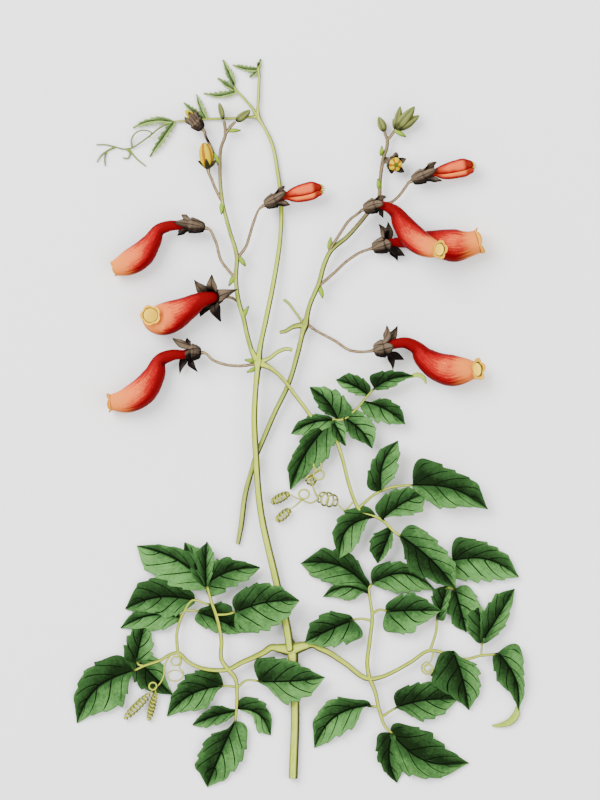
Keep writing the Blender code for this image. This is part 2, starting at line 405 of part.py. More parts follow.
UPPER_LEAF = {
    "stalks": [
        [(67.65, 107.95, 4.1, 0.62), (69.4, 106.6, 4.4, 0.5), (71.3, 104.6, 4.5, 0.48),
         (73.75, 101.3, 4.3, 0.48),
         (75.8, 98.7, 4.0, 0.48), (77.6, 96.2, 3.6, 0.48), (80.6, 93.2, 3.2, 0.48), (84, 89.8, 3.0, 0.46),
         (85.4, 86, 2.9, 0.46), (87.2, 79, 3.1, 0.46), (88.4, 75.4, 3.3, 0.46), (90, 72.4, 3.4, 0.46),
         (93.7, 71, 3.5, 0.42), (96, 69.7, 3.6, 0.4), (98, 67.6, 3.7, 0.38), (100.6, 65.6, 3.7, 0.34)],
        [(80.4, 93.4, 3.2, 0.42), (82.6, 94.9, 3.6, 0.38), (86.2, 95.3, 3.7, 0.36), (88, 96.8, 3.7, 0.34),
         (90, 98.8, 3.7, 0.32), (92, 101.3, 3.7, 0.3), (93.9, 103.2, 3.7, 0.3)],
        [(89.4, 72.8, 3.4, 0.42), (91.3, 74.6, 3.6, 0.38), (93.8, 76.6, 3.7, 0.36), (96.3, 77.8, 3.7, 0.34),
         (101.2, 78.7, 3.8, 0.32), (103.8, 78.8, 3.9, 0.3)],
        [(96, 69.8, 3.6, 0.34), (95.4, 70.6, 3.9, 0.3)],
    ],
    "blades": [
        ((83.0, 94.9, 3.9), (72.6, 77.6, 0.5), -1.5, (2.6, 3.9, 1.6), (2.0, 4.3, 3.6), 3),
        ((83.0, 95.0, 4.0), (72.8, 91.6, 2.6), -1.0, (1.5, 1.6, 1.3), (1.6, 2.9, 2.3), 2),
        ((83.2, 94.8, 3.9), (86.4, 88.6, 3.3), 0.0, (1.3, 2.1, 0.8), (1.5, 1.8, 1.2), 2),
        ((84.4, 95.2, 3.9), (77.5, 103.2, 3.3), -1.0, (0.4, 1.8, 1.1), (4.6, 4.9, 3.1), 2),
        ((86.0, 95.6, 3.9), (93.0, 88.0, 3.0), 0.9, (3.5, 4.7, 3.7), (0.9, 2.1, 0.8), 2),
        ((91.8, 101.4, 3.9), (84.0, 105.0, 3.2), -0.6, (0.8, 1.4, 1.1), (2.4, 3.3, 2.8), 2),
        ((90.9, 99.7, 3.8), (101.2, 94.0, 3.1), 0.9, (0.5, 3.5, 3.1), (2.3, 3.1, 1.7), 2),
        ((93.6, 103.0, 3.9), (103.4, 106.0, 3.5), 1.0, (3.5, 3.3, 1.9), (0.9, 1.2, 0.3), 2),
        ((95.2, 77.2, 3.9), (99.4, 89.8, 3.0), 1.8, (4.0, 4.7, 3.4), (0.5, 2.1, 1.6), 2),
        ((103.2, 78.8, 4.1), (121.8, 72.8, 3.2), 2.2, (7.2, 6.7, 5.4), (1.6, 3.4, 1.0), 3),
        ((95.6, 70.4, 4.1), (106.3, 76.8, 3.3), 0.8, (4.0, 4.9, 3.5), (0.3, 2.1, 3.4), 2),
        ((94.0, 70.9, 3.7), (84.8, 60.6, 2.9), -3.4, (-1.0, 0.2, 1.1), (4.8, 7.0, 5.4), 2),
        ((97.8, 67.9, 3.8), (94.4, 59.3, 3.0), 0.0, (0.7, 1.7, 1.1), (1.7, 3.9, 3.0), 2),
        ((100.0, 66.2, 3.9), (113.8, 53.0, 3.2), 0.9, (4.5, 5.4, 4.5), (1.2, 4.7, 2.5), 3),
    ],
    "threads": [
        [(88.6, 75.0, 3.3), (86.0, 72.6, 3.6), (84.6, 73.9, 3.9), (84.4, 74.6, 4.1)],
        [(79.6, 75.4, 3.6), (79.0, 76.4, 2.8), (78.2, 78.4, 2.6), (77.7, 79.9, 2.5), (77.6, 80.8, 2.5),
         (79.6, 82.2, 2.5), (80.5, 83.9, 2.4)],
        [(79.6, 75.2, 3.4), (77.6, 74.3, 2.6), (75.6, 75.0, 2.3), (74.4, 75.4, 2.1), (72.2, 76.6, 2.0)],
        [(75.4, 75.0, 2.3), (73.6, 73.4, 2.1), (72.5, 72.7, 2.0)],
    ],
    "coils": [
        ((84.4, 74.6, 4.1), (79.4, 75.8, 3.6), 1.75, 4),
        ((72.3, 76.7, 1.6), (67.9, 74.4, 1.2), 0.7, 5),
        ((72.5, 72.7, 1.7), (69.2, 69.8, 1.2), 0.75, 4),
    ],
}
UPPER_LEAF_CURL = [
    (102.4, 105.8, 3.6, 0.4), (104.4, 106.3, 3.5, 0.6), (105.8, 105.6, 3.3, 0.55),
    (106.4, 104.3, 3.0, 0.3),
]

YOUNG_LEAF_TOP = {
    "stalks": [
        [(63.1, 172.8, 1.0, 0.34), (61.8, 174.4, 1.0, 0.32), (60.2, 176.2, 0.95, 0.3),
         (58.9, 177.5, 0.9, 0.28),
         (58.3, 179.4, 0.9, 0.26)],
    ],
    "blades": [
        ((58.5, 179.0, 0.9), (55.8, 185.0, 0.5), 0.0, (0.6, 0.8, 0.5), (0.6, 0.9, 0.5), 1),
        ((59.2, 177.2, 0.9), (54.5, 180.4, 0.5), 0.3, (0.5, 0.8, 0.5), (0.5, 0.8, 0.5), 1),
        ((59.2, 177.2, 0.9), (51.0, 176.6, 0.5), 0.9, (0.9, 1.5, 1.0), (0.3, 0.2, 0.0), 1),
    ],
    "threads": [],
    "coils": [],
}
YOUNG_LEAF_SIDE = {
    "stalks": [
        [(62.05, 170.6, 1.0, 0.34), (60, 170.45, 0.85, 0.32), (55.5, 170.3, 0.75, 0.3),
         (51.5, 170.2, 0.7, 0.3),
         (45.75, 169.75, 0.7, 0.28), (42.5, 169.4, 0.7, 0.26)],
    ],
    "blades": [
        ((51.6, 170.1, 0.8), (49.2, 176.3, 0.5), 0.3, (0.5, 0.8, 0.5), (0.5, 0.7, 0.5), 1),
        ((51.2, 170.0, 0.8), (46.0, 174.3, 0.5), 0.3, (0.5, 0.9, 0.6), (0.5, 0.7, 0.4), 1),
        ((43.2, 169.5, 0.8), (33.3, 168.0, 0.5), -1.0, (0.2, 0.0, 0.0), (1.0, 1.8, 1.3), 1),
        ((43.6, 169.6, 0.8), (37.5, 160.8, 0.5), 0.0, (0.7, 0.9, 0.6), (0.6, 0.9, 0.6), 1),
    ],
    "threads": [
        [(42.7, 169.4, 0.7), (40, 168, 1.3), (37.5, 166, 1.3), (35, 164.2, 0.9), (33, 163, 0.6),
         (31.2, 162.7, 0.5),
         (28.7, 163.3, 0.4), (26.4, 163.8, 0.4), (24.2, 163.8, 0.4)],
        [(33, 163, 0.6), (32.9, 165, 0.9), (34.3, 166.9, 1.9), (36.3, 167.3, 2.3), (37.9, 166.7, 2.3),
         (37.5, 165.6, 2.2)],
        [(28.8, 163.2, 0.4), (26.9, 162.3, 0.4), (25.4, 161.2, 0.4), (24.3, 159.5, 0.4)],
        [(26.7, 162.2, 0.4), (26.2, 160.2, 0.4), (26.3, 158.6, 0.4)],
        [(31.6, 162.8, 0.5), (32.5, 161.6, 0.4), (32.0, 160.4, 0.4), (30.8, 160.5, 0.4)],
        [(32.1, 162.8, 0.5), (34.2, 160.3, 0.4), (36.4, 158.5, 0.3)],
    ],
    "coils": [],
}
SHOOT_TIP = {
    "stalks": [[(64.75, 181.4, 0.9, 0.34), (64.6, 182.6, 0.9, 0.4), (64.5, 184.3, 0.8, 0.22)]],
    "blades": [
        ((64.8, 182.4, 0.9), (62.4, 180.6, 0.5), 0.0, (0.4, 0.5, 0.3), (0.4, 0.5, 0.3), 1),
        ((64.8, 182.6, 0.9), (58.2, 183.7, 0.5), 0.5, (0.6, 1.1, 0.7), (0.3, 0.4, 0.3), 1),
        ((64.5, 182.4, 0.9), (65.2, 185.2, 0.5), 0.0, (0.4, 0.5, 0.3), (0.4, 0.5, 0.3), 1),
    ],
    "threads": [],
    "coils": [],
}


def clear_scene():
    for old in list(bpy.data.objects):
        bpy.data.objects.remove(old)


def new_collection(name):
    collection = bpy.data.collections.new(name)
    bpy.context.scene.collection.children.link(collection)
    return collection


def material(name, colour, roughness):
    made = bpy.data.materials.new(name)
    made.use_nodes = True
    shader = made.node_tree.nodes["Principled BSDF"]
    shader.inputs["Base Color"].default_value = (*colour, 1.0)
    shader.inputs["Roughness"].default_value = roughness
    shader.inputs["Metallic"].default_value = 0.0
    return made


def placed(point):
    """A point of the sheet, in metres round the middle of the shoot."""
    return (Vector(point[:3]) - SHEET_MIDDLE) * MM


def face_outward(shape):
    shape.normal_update()
    bmesh.ops.recalc_face_normals(shape, faces=shape.faces)


def object_of(mesh, name):
    """The mesh as an object, pressed flat where it would pass through the surface."""
    for vertex in mesh.vertices:
        vertex.co.z = max(vertex.co.z, 0.0)
    made = bpy.data.objects.new(name, mesh)
    bpy.context.scene.collection.objects.link(made)
    return made


def evaluated_mesh(thing):
    bpy.context.view_layer.update()
    graph = bpy.context.evaluated_depsgraph_get()
    return bpy.data.meshes.new_from_object(thing.evaluated_get(graph))


def tube(path, name="tube", sides=STEM_SIDES):
    """A round stalk through (x, y, z, radius) points, with welded end caps."""
    curve = bpy.data.curves.new(name, "CURVE")
    curve.dimensions = "3D"
    curve.bevel_depth = 1.0
    curve.bevel_resolution = sides
    curve.use_fill_caps = True
    line = curve.splines.new("POLY")
    line.points.add(len(path) - 1)
    for made, point in zip(line.points, path):
        made.co = (*placed(point), 1.0)
        made.radius = max(point[3], LEAST_RADIUS) * MM
    guide = bpy.data.objects.new(name, curve)
    bpy.context.scene.collection.objects.link(guide)
    mesh = evaluated_mesh(guide)
    bpy.data.objects.remove(guide)
    shape = bmesh.new()
    shape.from_mesh(mesh)
    bmesh.ops.remove_doubles(shape, verts=shape.verts, dist=WELD)
    face_outward(shape)
    shape.to_mesh(mesh)
    shape.free()
    return object_of(mesh, name)


def thread(path, radius):
    """A thin tendril along (x, y, z) points."""
    return tube([(*p[:3], radius) for p in path], "thread", sides=THREAD_SIDES)


def coil(start, end, radius, turns):
    """A coiled tendril round the line from start to end, with both its ends on that line."""
    start, end = Vector(start), Vector(end)
    along = (end - start).normalized()
    side = along.cross(Vector((0, 0, 1))).normalized()
    up = side.cross(along)
    path = []
    for k in range(turns * COIL_CORNERS + 1):
        part = k / (turns * COIL_CORNERS)
        angle = math.tau * k / COIL_CORNERS
        swell = radius * math.sin(math.pi * part) ** COIL_ROUNDNESS
        point = start.lerp(end, part) + swell * (math.cos(angle) * side + math.sin(angle) * up)
        path.append((point.x, point.y, max(point.z, COIL_THICKNESS), COIL_THICKNESS))
    return tube(path, "coil", sides=THREAD_SIDES)


def shaped_grid(across, along, shape, closed=False):
    """A bmesh grid whose point at (u, v), both from 0 to 1, is moved to shape(u, v)."""
    grid = bmesh.new()
    bmesh.ops.create_grid(grid, x_segments=across, y_segments=along, size=0.5)
    for vertex in grid.verts:
        vertex.co = placed(shape(vertex.co.x + 0.5, vertex.co.y + 0.5))
    if closed:
        bmesh.ops.remove_doubles(grid, verts=grid.verts, dist=WELD)
    return grid


def walled(grid, name, wall):
    """The open surface given a wall, with the same triangles on both faces."""
    bmesh.ops.triangulate(grid, faces=grid.faces)
    face_outward(grid)
    mesh = bpy.data.meshes.new(name)
    grid.to_mesh(mesh)
    grid.free()
    sheet = bpy.data.objects.new(name, mesh)
    bpy.context.scene.collection.objects.link(sheet)
    solidify = sheet.modifiers.new("Wall", "SOLIDIFY")
    solidify.thickness = wall * MM
    solidify.offset = 0.0
    thick = evaluated_mesh(sheet)
    bpy.data.objects.remove(sheet)
    shell = bmesh.new()
    shell.from_mesh(thick)
    face_outward(shell)
    shell.to_mesh(thick)
    shell.free()
    return object_of(thick, name)


def edge_at(part, distances):
    """How far a leaf's edge lies from the line from its base to its tip."""
    knots = list(zip(EDGE_PARTS, (0.0, *distances, 0.0)))
    for (before, low), (after, high) in zip(knots, knots[1:]):
        if part <= after:
            return low + (high - low) * (part - before) / (after - before)
    return 0.0


def leaf_blade(base, tip, bend, left, right, teeth):
    """A pointed, toothed leaflet that is folded along its midrib and arches down to its tip."""
    base, tip = Vector(base), Vector(tip)
    forward = (tip - base).to_2d()
    length = forward.length
    forward.normalize()
    side = Vector((-forward.y, forward.x))
    rows = BLADE_ROWS[teeth]

    def shape(u, v):
        part, toothed = rows[round(v * (len(rows) - 1))]
        across = round(2 * u) - 1
        midrib = bend * math.sin(math.pi * part)
        half = edge_at(part, left) - midrib if across > 0 else edge_at(part, right) + midrib
        half = max(half * toothed, LEAST_HALF_WIDTH)
        spot = base.to_2d() + forward * (length * part) + side * (midrib + across * half)
        height = base.z + (tip.z - base.z) * part + ARCH * length * math.sin(math.pi * part)
        height -= FOLD * half * abs(across)
        return (spot.x, spot.y, max(height, BLADE / 2))

    return walled(shaped_grid(2, len(rows) - 1, shape), "blade", BLADE)


def frames_along(path):
    """(centre, right, up, radius) at each point of a path, turning no more than the path does."""
    centres = [Vector(p[:3]) for p in path]
    right = None
    found = []
    for k, centre in enumerate(centres):
        before = centres[max(k - 1, 0)]
        after = centres[min(k + 1, len(centres) - 1)]
        along = (after - before).normalized()
        if right is None:
            right = along.cross(Vector((0, 0, 1))).normalized()
        right = (right - along * right.dot(along)).normalized()
        found.append((centre, right, right.cross(along), path[k][3]))
    return found


def petal_tube(base, rim, petals, lip):
    """A corolla: a shut narrow end in the calyx, a bent swollen tube and a lobed lip."""
    base, rim = Vector(base), Vector(rim)
    inward = (rim - base).normalized()
    root = base + inward * (WALL + GAP + WALL / 2)
    waist = rim - inward * WAIST_BEHIND_RIM
    frames = frames_along([(*root, ROOT_RADIUS), (*waist, WAIST_RADIUS), *petals])
    spread, reach = lip
    rings = len(frames) + 1
    mouth, side, up, mouth_radius = frames[-1]
    ahead = up.cross(side).normalized()

    def shape(u, v):
        ring = round(v * (rings - 1))
        angle = math.tau * u
        lobe = LOBE_LEAST + (1 - LOBE_LEAST) * abs(math.sin(angle * LOBES / 2)) ** LOBE_ROUNDNESS
        if ring < len(frames):
            centre, right, over, radius = frames[ring]
        else:
            centre, right, over = mouth + ahead * (reach * lobe), side, up
            radius = mouth_radius + spread * lobe
        return centre + (right * math.cos(angle) + over * math.sin(angle)) * radius

    grid = shaped_grid(PETAL_SIDES, rings - 1, shape, closed=True)
    fill_round(grid, root, 2 * ROOT_RADIUS)
    return walled(grid, "petals", WALL)


def fill_round(grid, middle, reach):
    """Closes the opening whose edges lie within reach of the middle."""
    edges = [
        edge for edge in grid.edges
        if edge.is_boundary and (edge.verts[0].co - placed(middle)).length < reach * MM
    ]
    bmesh.ops.holes_fill(grid, edges=edges, sides=0)


def rim_frame(base, rim):
    along = (rim - base).normalized()
    right = along.cross(Vector((0, 0, 1))).normalized()
    return along, right, right.cross(along)


def angle_round(point, rim, right, up):
    return math.atan2((point - rim).dot(up), (point - rim).dot(right))


def calyx(base, rim, radius, tips, sepal_rows=1):
    """A cup with a shut base and five pointed sepals, each led to its own tip."""
    base, rim = Vector(base), Vector(rim)
    along, right, up = rim_frame(base, rim)
    tips = sorted((Vector(t) for t in tips), key=lambda t: angle_round(t, rim, right, up))
    turns = [angle_round(t, rim, right, up) - math.tau * k / LOBES for k, t in enumerate(tips)]
    turn = math.atan2(sum(math.sin(a) for a in turns), sum(math.cos(a) for a in turns))
    inner_base = base + along * (WALL / 2)
    depth = (rim - inner_base).length

    def rim_point(angle):
        return rim + (right * math.cos(angle) + up * math.sin(angle)) * radius

    def cup(u, v):
        height, width = CUP_ROWS[round(v * (len(CUP_ROWS) - 1))]
        return inner_base + along * (depth * height) + (rim_point(turn + math.tau * u) - rim) * width

    grid = shaped_grid(SEPAL_SIDES, len(CUP_ROWS) - 1, cup, closed=True)
    fill_round(grid, inner_base, (CUP_ROWS[0][1] + CUP_ROWS[1][1]) / 2 * radius)
    for k, tip in enumerate(tips):
        middle = turn + math.tau * k / LOBES
        start = rim_point(middle)
        reach = (tip - start).length
        lead = start + along * (SEPAL_ONWARD * reach) + (tip - start) * SEPAL_LEAN

        def sepal(u, v):
            line = start * (1 - v) ** 2 + lead * (2 * v * (1 - v)) + tip * v**2
            taper = max((1 - v) ** SEPAL_TAPER, SEPAL_TIP)
            angle = middle + (u - 0.5) * math.tau / LOBES
            return line + (rim_point(angle) - start) * taper

        strip = shaped_grid(2, sepal_rows, sepal)
        mesh = bpy.data.meshes.new("strip")
        strip.to_mesh(mesh)
        strip.free()
        grid.from_mesh(mesh)
        bpy.data.meshes.remove(mesh)
    bmesh.ops.remove_doubles(grid, verts=grid.verts, dist=WELD)
    return walled(grid, "calyx", WALL)


def bud(base, tip, radius, blunt):
    """A closed bud with five low ribs, widest below its middle."""
    base, tip = Vector(base), Vector(tip)
    along, right, up = rim_frame(base, tip)
    length = (tip - base).length
    shape = bmesh.new()
    bmesh.ops.create_uvsphere(shape, u_segments=10, v_segments=6, radius=1.0)
    for vertex in shape.verts:
        height = 0.5 + vertex.co.z / 2
        angle = math.atan2(vertex.co.y, vertex.co.x)
        spread = math.hypot(vertex.co.x, vertex.co.y)
        ribbed = 1 - BUD_RIB + BUD_RIB * math.cos(LOBES * angle)
        width = radius * spread * (1 - (1 - blunt) * height**2) * ribbed
        spot = base + along * (length * height) + (right * math.cos(angle) + up * math.sin(angle)) * width
        vertex.co = placed(spot)
    face_outward(shape)
    mesh = bpy.data.meshes.new("bud")
    shape.to_mesh(mesh)
    shape.free()
    return object_of(mesh, "bud")


def bract(base, tip, half):
    """A small pointed scale with one end sunk in the stalk."""
    return tube([(*base, half), (*tip, LEAST_RADIUS)], "bract", sides=THREAD_SIDES)


def stalk_to(path, base, rim):
    """A flower's own stalk, which stops a gap short of the calyx or bud it carries."""
    base, rim = Vector(base), Vector(rim)
    end = base - (rim - base).normalized() * GAP
    before = base - (rim - base).normalized() * PEDICEL_STRAIGHT
    return tube([(*p, PEDICEL_RADIUS) for p in (*path, before, end)], "pedicel", sides=THREAD_SIDES)


def shells_of(shape):
    """The mesh's separate shells, as lists of faces."""
    left = set(shape.faces)
    shells = []
    while left:
        shell = [left.pop()]
        for face in shell:
            for edge in face.edges:
                near = [f for f in edge.link_faces if f in left]
                left.difference_update(near)
                shell += near
        shells.append(shell)
    return shells


def keep_outer_shell(mesh):
    """Fills hollows that the union sealed and drops loose scraps: only the largest shell stays."""
    shape = bmesh.new()
    shape.from_mesh(mesh)
    shells = sorted(shells_of(shape), key=lambda faces: sum(face.calc_area() for face in faces))
    for shell in shells[:-1]:
        bmesh.ops.delete(shape, geom=shell, context="FACES")
    shape.to_mesh(mesh)
    shape.free()


def joined(pieces, name, paint):
    """All the pieces as one solid."""
    whole, *others = pieces
    if others:
        group = bpy.data.collections.new("others")
        for piece in others:
            group.objects.link(piece)
        union = whole.modifiers.new("Union", "BOOLEAN")
        union.operation = "UNION"
        union.operand_type = "COLLECTION"
        union.collection = group
        union.solver = "EXACT"
        mesh = evaluated_mesh(whole)
        keep_outer_shell(mesh)
        whole.modifiers.clear()
        whole.data = mesh
        for piece in others:
            bpy.data.objects.remove(piece)
        bpy.data.collections.remove(group)
    whole.name = name
    whole.data.name = name
    whole.data.materials.clear()
    whole.data.materials.append(paint)
    whole.data.shade_smooth()
    whole.data.set_sharp_from_angle(angle=math.radians(SHARP_ANGLE))
    bpy.context.scene.collection.objects.unlink(whole)
    SHOOT.objects.link(whole)
    return whole


def leaf(name, design, paint, extra=()):
    main, *branches = design["stalks"]
    pieces = [tube(main, "stalk", sides=STALK_SIDES)]
    pieces += [tube(path, "branch", sides=THREAD_SIDES) for path in branches]
    pieces += [leaf_blade(*blade) for blade in design["blades"]]
    # No two threads are equally thick, so that no two of them share a face
    pieces += [thread(path, TENDRIL - THREAD_STEP * k) for k, path in enumerate(design["threads"])]
    pieces += [coil(*turns) for turns in design["coils"]]
    pieces += [tube(path, "curl", sides=STALK_SIDES) for path in extra]
    return joined(pieces, name, paint)


def carried(name):
    """Where the stalk of a flower or a bud meets it, and which way it points."""
    if name in FLOWERS:
        return FLOWERS[name]["base"], FLOWERS[name]["rim"]
    if name + "_calyx" in BUD_CALYCES:
        return BUD_CALYCES[name + "_calyx"]["base"], BUD_CALYCES[name + "_calyx"]["rim"]
    return BUDS[name][0], BUDS[name][1]


def pedicels(paths):
    return [stalk_to(path, *carried(name)) for name, path in paths.items()]


def main_stem(paint):
    pieces = [tube(MAIN_STEM, "stem")]
    stubs = (LEFT_LEAF_STUB, RIGHT_LEAF_STUB, UPPER_LEAF_STUB, LEFT_RACEME_STUB, CUT_STALK_STUB, *TOP_STUBS)
    pieces += [tube(path, "stub", sides=STALK_SIDES) for path in stubs]
    pieces += [bract(*b) for b in NODE_BRACTS]
    pieces += pedicels(MAIN_PEDICELS)
    return joined(pieces, "main_stem", paint)


def left_raceme(paint):
    pieces = [tube(LEFT_RACEME, "rachis", sides=STALK_SIDES)]
    pieces += [tube(LEFT_TIP_FORK, "fork", sides=THREAD_SIDES)]
    pieces += [bract(*b) for b in LEFT_BRACTS]
    pieces += pedicels(LEFT_PEDICELS)
    return joined(pieces, "raceme_left_stalk", paint)


def right_raceme(paint):
    pieces = [tube(RIGHT_RACEME, "rachis", sides=STALK_SIDES)]
    pieces += [tube(RIGHT_TIP_FORK, "fork", sides=THREAD_SIDES)]
    pieces += [tube(path, "stub", sides=STALK_SIDES) for path in (RIGHT_CUT_STUB, RIGHT_THREAD_STUB)]
    pieces += [bract(*b) for b in RIGHT_BRACTS]
    pieces += pedicels(RIGHT_PEDICELS)
    return joined(pieces, "raceme_right_stalk", paint)


def flower(name, design, sepal_paint, petal_paint):
    sepal_rows = 2 if name.startswith("flower") else 1
    cup = calyx(design["base"], design["rim"], design["radius"], design["tips"], sepal_rows)
    joined([cup], name + "_calyx", sepal_paint)
    petals = petal_tube(design["base"], design["rim"], design["petals"], design["lip"])
    joined([petals], name + "_corolla", petal_paint)


clear_scene()
SHOOT = new_collection("chilean_glory_flower_shoot")
stem_paint = material("stem", STEM_GREEN, 0.55)
pedicel_paint = material("raceme stalk", PEDICEL_GREEN, 0.6)
leaf_paint = material("leaf", LEAF_GREEN, 0.5)
young_paint = material("young leaf", YOUNG_GREEN, 0.55)
red_paint = material("red petals", PETAL_RED, 0.4)
sepal_paint = material("sepals", SEPAL_BROWN, 0.7)
olive_paint = material("green bud", BUD_OLIVE, 0.6)

main_stem(stem_paint)
left_raceme(pedicel_paint)
right_raceme(pedicel_paint)
for flower_name, flower_design in FLOWERS.items():
    flower(flower_name, flower_design, sepal_paint, red_paint)
for bud_name, (bud_base, bud_tip, bud_radius, bluntness, bud_colour) in BUDS.items():
    joined([bud(bud_base, bud_tip, bud_radius, bluntness)], bud_name, material(bud_name, bud_colour, 0.5))
for calyx_name, cup in BUD_CALYCES.items():
    cup_paint = olive_paint if calyx_name == "bud_right_cluster" else sepal_paint
    joined([calyx(cup["base"], cup["rim"], cup["radius"], cup["tips"])], calyx_name, cup_paint)
leaf("leaf_left", LEFT_LEAF, leaf_paint)
leaf("leaf_right", RIGHT_LEAF, leaf_paint, [LEAF_CURL])
leaf("leaf_upper", UPPER_LEAF, leaf_paint, [UPPER_LEAF_CURL])
leaf("young_leaf_top", YOUNG_LEAF_TOP, young_paint)
leaf("young_leaf_side", YOUNG_LEAF_SIDE, young_paint)
leaf("shoot_tip", SHOOT_TIP, young_paint)
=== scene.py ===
"""Looks of the cut flowering shoot of the Chilean glory flower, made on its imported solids.

Points and sizes are in millimetres on the surface that the shoot lies on: x to the right and y up the
shoot from the lower left corner of a 150 x 200 mm sheet, z up from the surface. placed() turns them
into metres round the middle of the shoot's own box. A path point is (x, y, z, radius).
"""

import json
import math
import random

import bmesh
import bpy
from mathutils import Matrix, Vector

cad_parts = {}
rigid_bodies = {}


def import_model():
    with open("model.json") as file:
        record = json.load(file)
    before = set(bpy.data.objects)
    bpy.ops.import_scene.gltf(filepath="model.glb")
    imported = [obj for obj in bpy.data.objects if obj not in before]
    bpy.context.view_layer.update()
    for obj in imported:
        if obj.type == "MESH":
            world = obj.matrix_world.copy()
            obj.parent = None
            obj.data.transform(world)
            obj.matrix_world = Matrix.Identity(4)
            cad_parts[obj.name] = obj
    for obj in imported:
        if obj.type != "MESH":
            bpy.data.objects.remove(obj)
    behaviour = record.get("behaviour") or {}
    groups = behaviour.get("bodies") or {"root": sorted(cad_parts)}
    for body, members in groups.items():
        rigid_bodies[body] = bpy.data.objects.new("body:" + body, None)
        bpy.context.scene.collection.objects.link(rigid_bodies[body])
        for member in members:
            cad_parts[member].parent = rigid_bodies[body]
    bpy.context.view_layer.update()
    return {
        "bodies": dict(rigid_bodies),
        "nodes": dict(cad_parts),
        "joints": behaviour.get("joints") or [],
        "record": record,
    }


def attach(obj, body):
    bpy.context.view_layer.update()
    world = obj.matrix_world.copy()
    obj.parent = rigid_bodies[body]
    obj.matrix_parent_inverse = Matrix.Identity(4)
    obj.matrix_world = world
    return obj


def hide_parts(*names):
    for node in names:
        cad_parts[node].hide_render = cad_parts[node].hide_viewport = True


MM = 0.001
UP = Vector((0, 0, 1))
WELD = 0.00001
SMOOTH_ANGLE = 50
SHEET_MIDDLE = Vector((75.0, 94.2, 0.0))
# Nothing lies lower than this
LEAST_HEIGHT = 0.05
# The solids' gap between two pieces, and the walls of their cups and petals
GAP = 0.3
CAD_WALL = 0.6
# A drawn light from the upper left, which shades the side of each part that faces away from it
DRAWN_LIGHT = Vector((-0.45, 0.42, 0.79)).normalized()

# Stalks: how far one runs into what carries it, the ridges round it, and the rows of a rounded end, each with
# how far along the rounding it lies and how wide it is there
SUNK = 0.5
RIDGE_COUNT = 5
ROUND_END = ((0.0, 0.0), (0.08, 0.45), (0.3, 0.75), (0.65, 0.95))
# The stalk of a flower or bud: its radii at its foot, along it, before the calyx and inside it, and how long
# it runs straight before the calyx
PEDICEL_RADII = [0.414, 0.36, 0.378, 0.54]
PEDICEL_STRAIGHT = 0.9
# Hairs: how many stand on a millimetre of stalk, how their sizes and leans stray, and how far out from the
# stalk a hair's middle lies, as a part of its length
HAIR_LENGTH = 0.42
HAIR_RADIUS = 0.045
HAIRS_PER_MM = 5.0
HAIR_SIZES = (0.6, 1.15)
HAIR_LEAN = 0.4
HAIR_MIDDLE = 0.42
# Bracts: how broad the belly gets, where in its swelling the foot begins, how blunt the tip is, how high the
# blade hooks over and how low its edges sag
BRACT_WALL = 0.25
BRACT_SWELL = 1.1
BRACT_FOOT = 0.22
BRACT_TIP = 0.04
BRACT_HOOK = 0.4
BRACT_SAG = 0.2

# Tendrils: how much thinner a free end is, how a coil swells from its ends and how far its turns lean
TENDRIL_RADIUS = 0.24
THREAD_TAPER = 0.35
COIL_ROUNDNESS = 0.4
COIL_STEPS = 16
COIL_LEAN = 0.62

# Leaf blades. Numbers that depend on how coarse the teeth are have keys 1 to 3, and 1 is a young blade's.
EDGE_PARTS = (0.0, 0.12, 0.4, 0.75, 1.0)
LEAST_HALF_WIDTH = 0.12
BLADE = 0.3
LEAST_BLADE_HEIGHT = BLADE / 2 + 0.02
BLADE_GRIDS = {1: (12, 48), 2: (22, 46), 3: (22, 46)}
# Rows of points lie closer together near the base
ROW_CROWDING = 1.3
# How high the blade arches, how far its halves fall from the midrib, how far the lobes at its base reach
# back and where they end, and where its tip is pinched and by how much
ARCH = 0.06
FOLD = 0.1
HEART = 0.5
HEART_END = 0.22
TIP_FROM = 0.97
TIP_PINCH = 0.6
# Teeth: how many on a side, how deep, how their depths and places stray, and where the first one stands
TOOTH_COUNT = {1: 6, 2: 4, 3: 5}
TOOTH_DEPTH = {1: 0.66, 2: 0.2, 3: 0.16}
TOOTH_SPREAD = (0.55, 1.4)
TOOTH_SHIFT = 0.04
FIRST_TOOTH = 0.1
# Between which parts of the blade's length teeth grow to their full depth, and fade again
TEETH_BEGIN = (0.08, 0.35)
TEETH_END = (0.9, 1.0)
# How much of the tooth depth stands out past the even outline, and where that begins
TOOTH_OUT = 0.42
OUT_BEGINS = (0.05, 0.3)
# How near the midrib the teeth cut in
TOOTH_REACH = {1: 0.1, 2: 0.6, 3: 0.6}
# Side veins: how many, how their places stray, and how far and how evenly they sweep forward
VEIN_COUNT = {1: 2.4, 2: 3.2, 3: 4.2}
VEIN_SHIFT = 0.2
VEIN_SWEEP = 0.42
VEIN_CURVE = 1.15
# Furrows over the midrib and the side veins, each as depth and width, the swelling between, the blade's waves
RIB_FURROW = (0.12, 0.35)
VEIN_FURROW = (0.06, 0.3)
SWELLING = 0.09
WAVE_HEIGHT = 0.14
WAVES = 2.3
# How dark the half away from the drawn light and the half toward it are: at the edge, more at the midrib, and
# how fast that fades
DARK_HALF = (0.3, 0.7, 0.9)
LIT_HALF = (0.1, 0.42, 2.5)
# More shade at the base, how blades differ, and how much paler a young one is
BASE_SHADE = 0.3
TONE_SPREAD = 0.1
TONE = {1: -0.3, 2: 0.0, 3: 0.0}

# Open corollas
PETAL_SIDES = 40
LIP_ROWS = 9
LOBES = 5
ROOT_RADIUS = 0.4
WAIST_RADIUS = 0.6
WAIST_BEHIND_RIM = 0.3
# How much fuller the neck is than the solid's, round which place, and over what distances that fades
NECK_FULLNESS = 0.34
NECK_PLACE = 0.08
NECK_FADES = (0.12, 0.45)
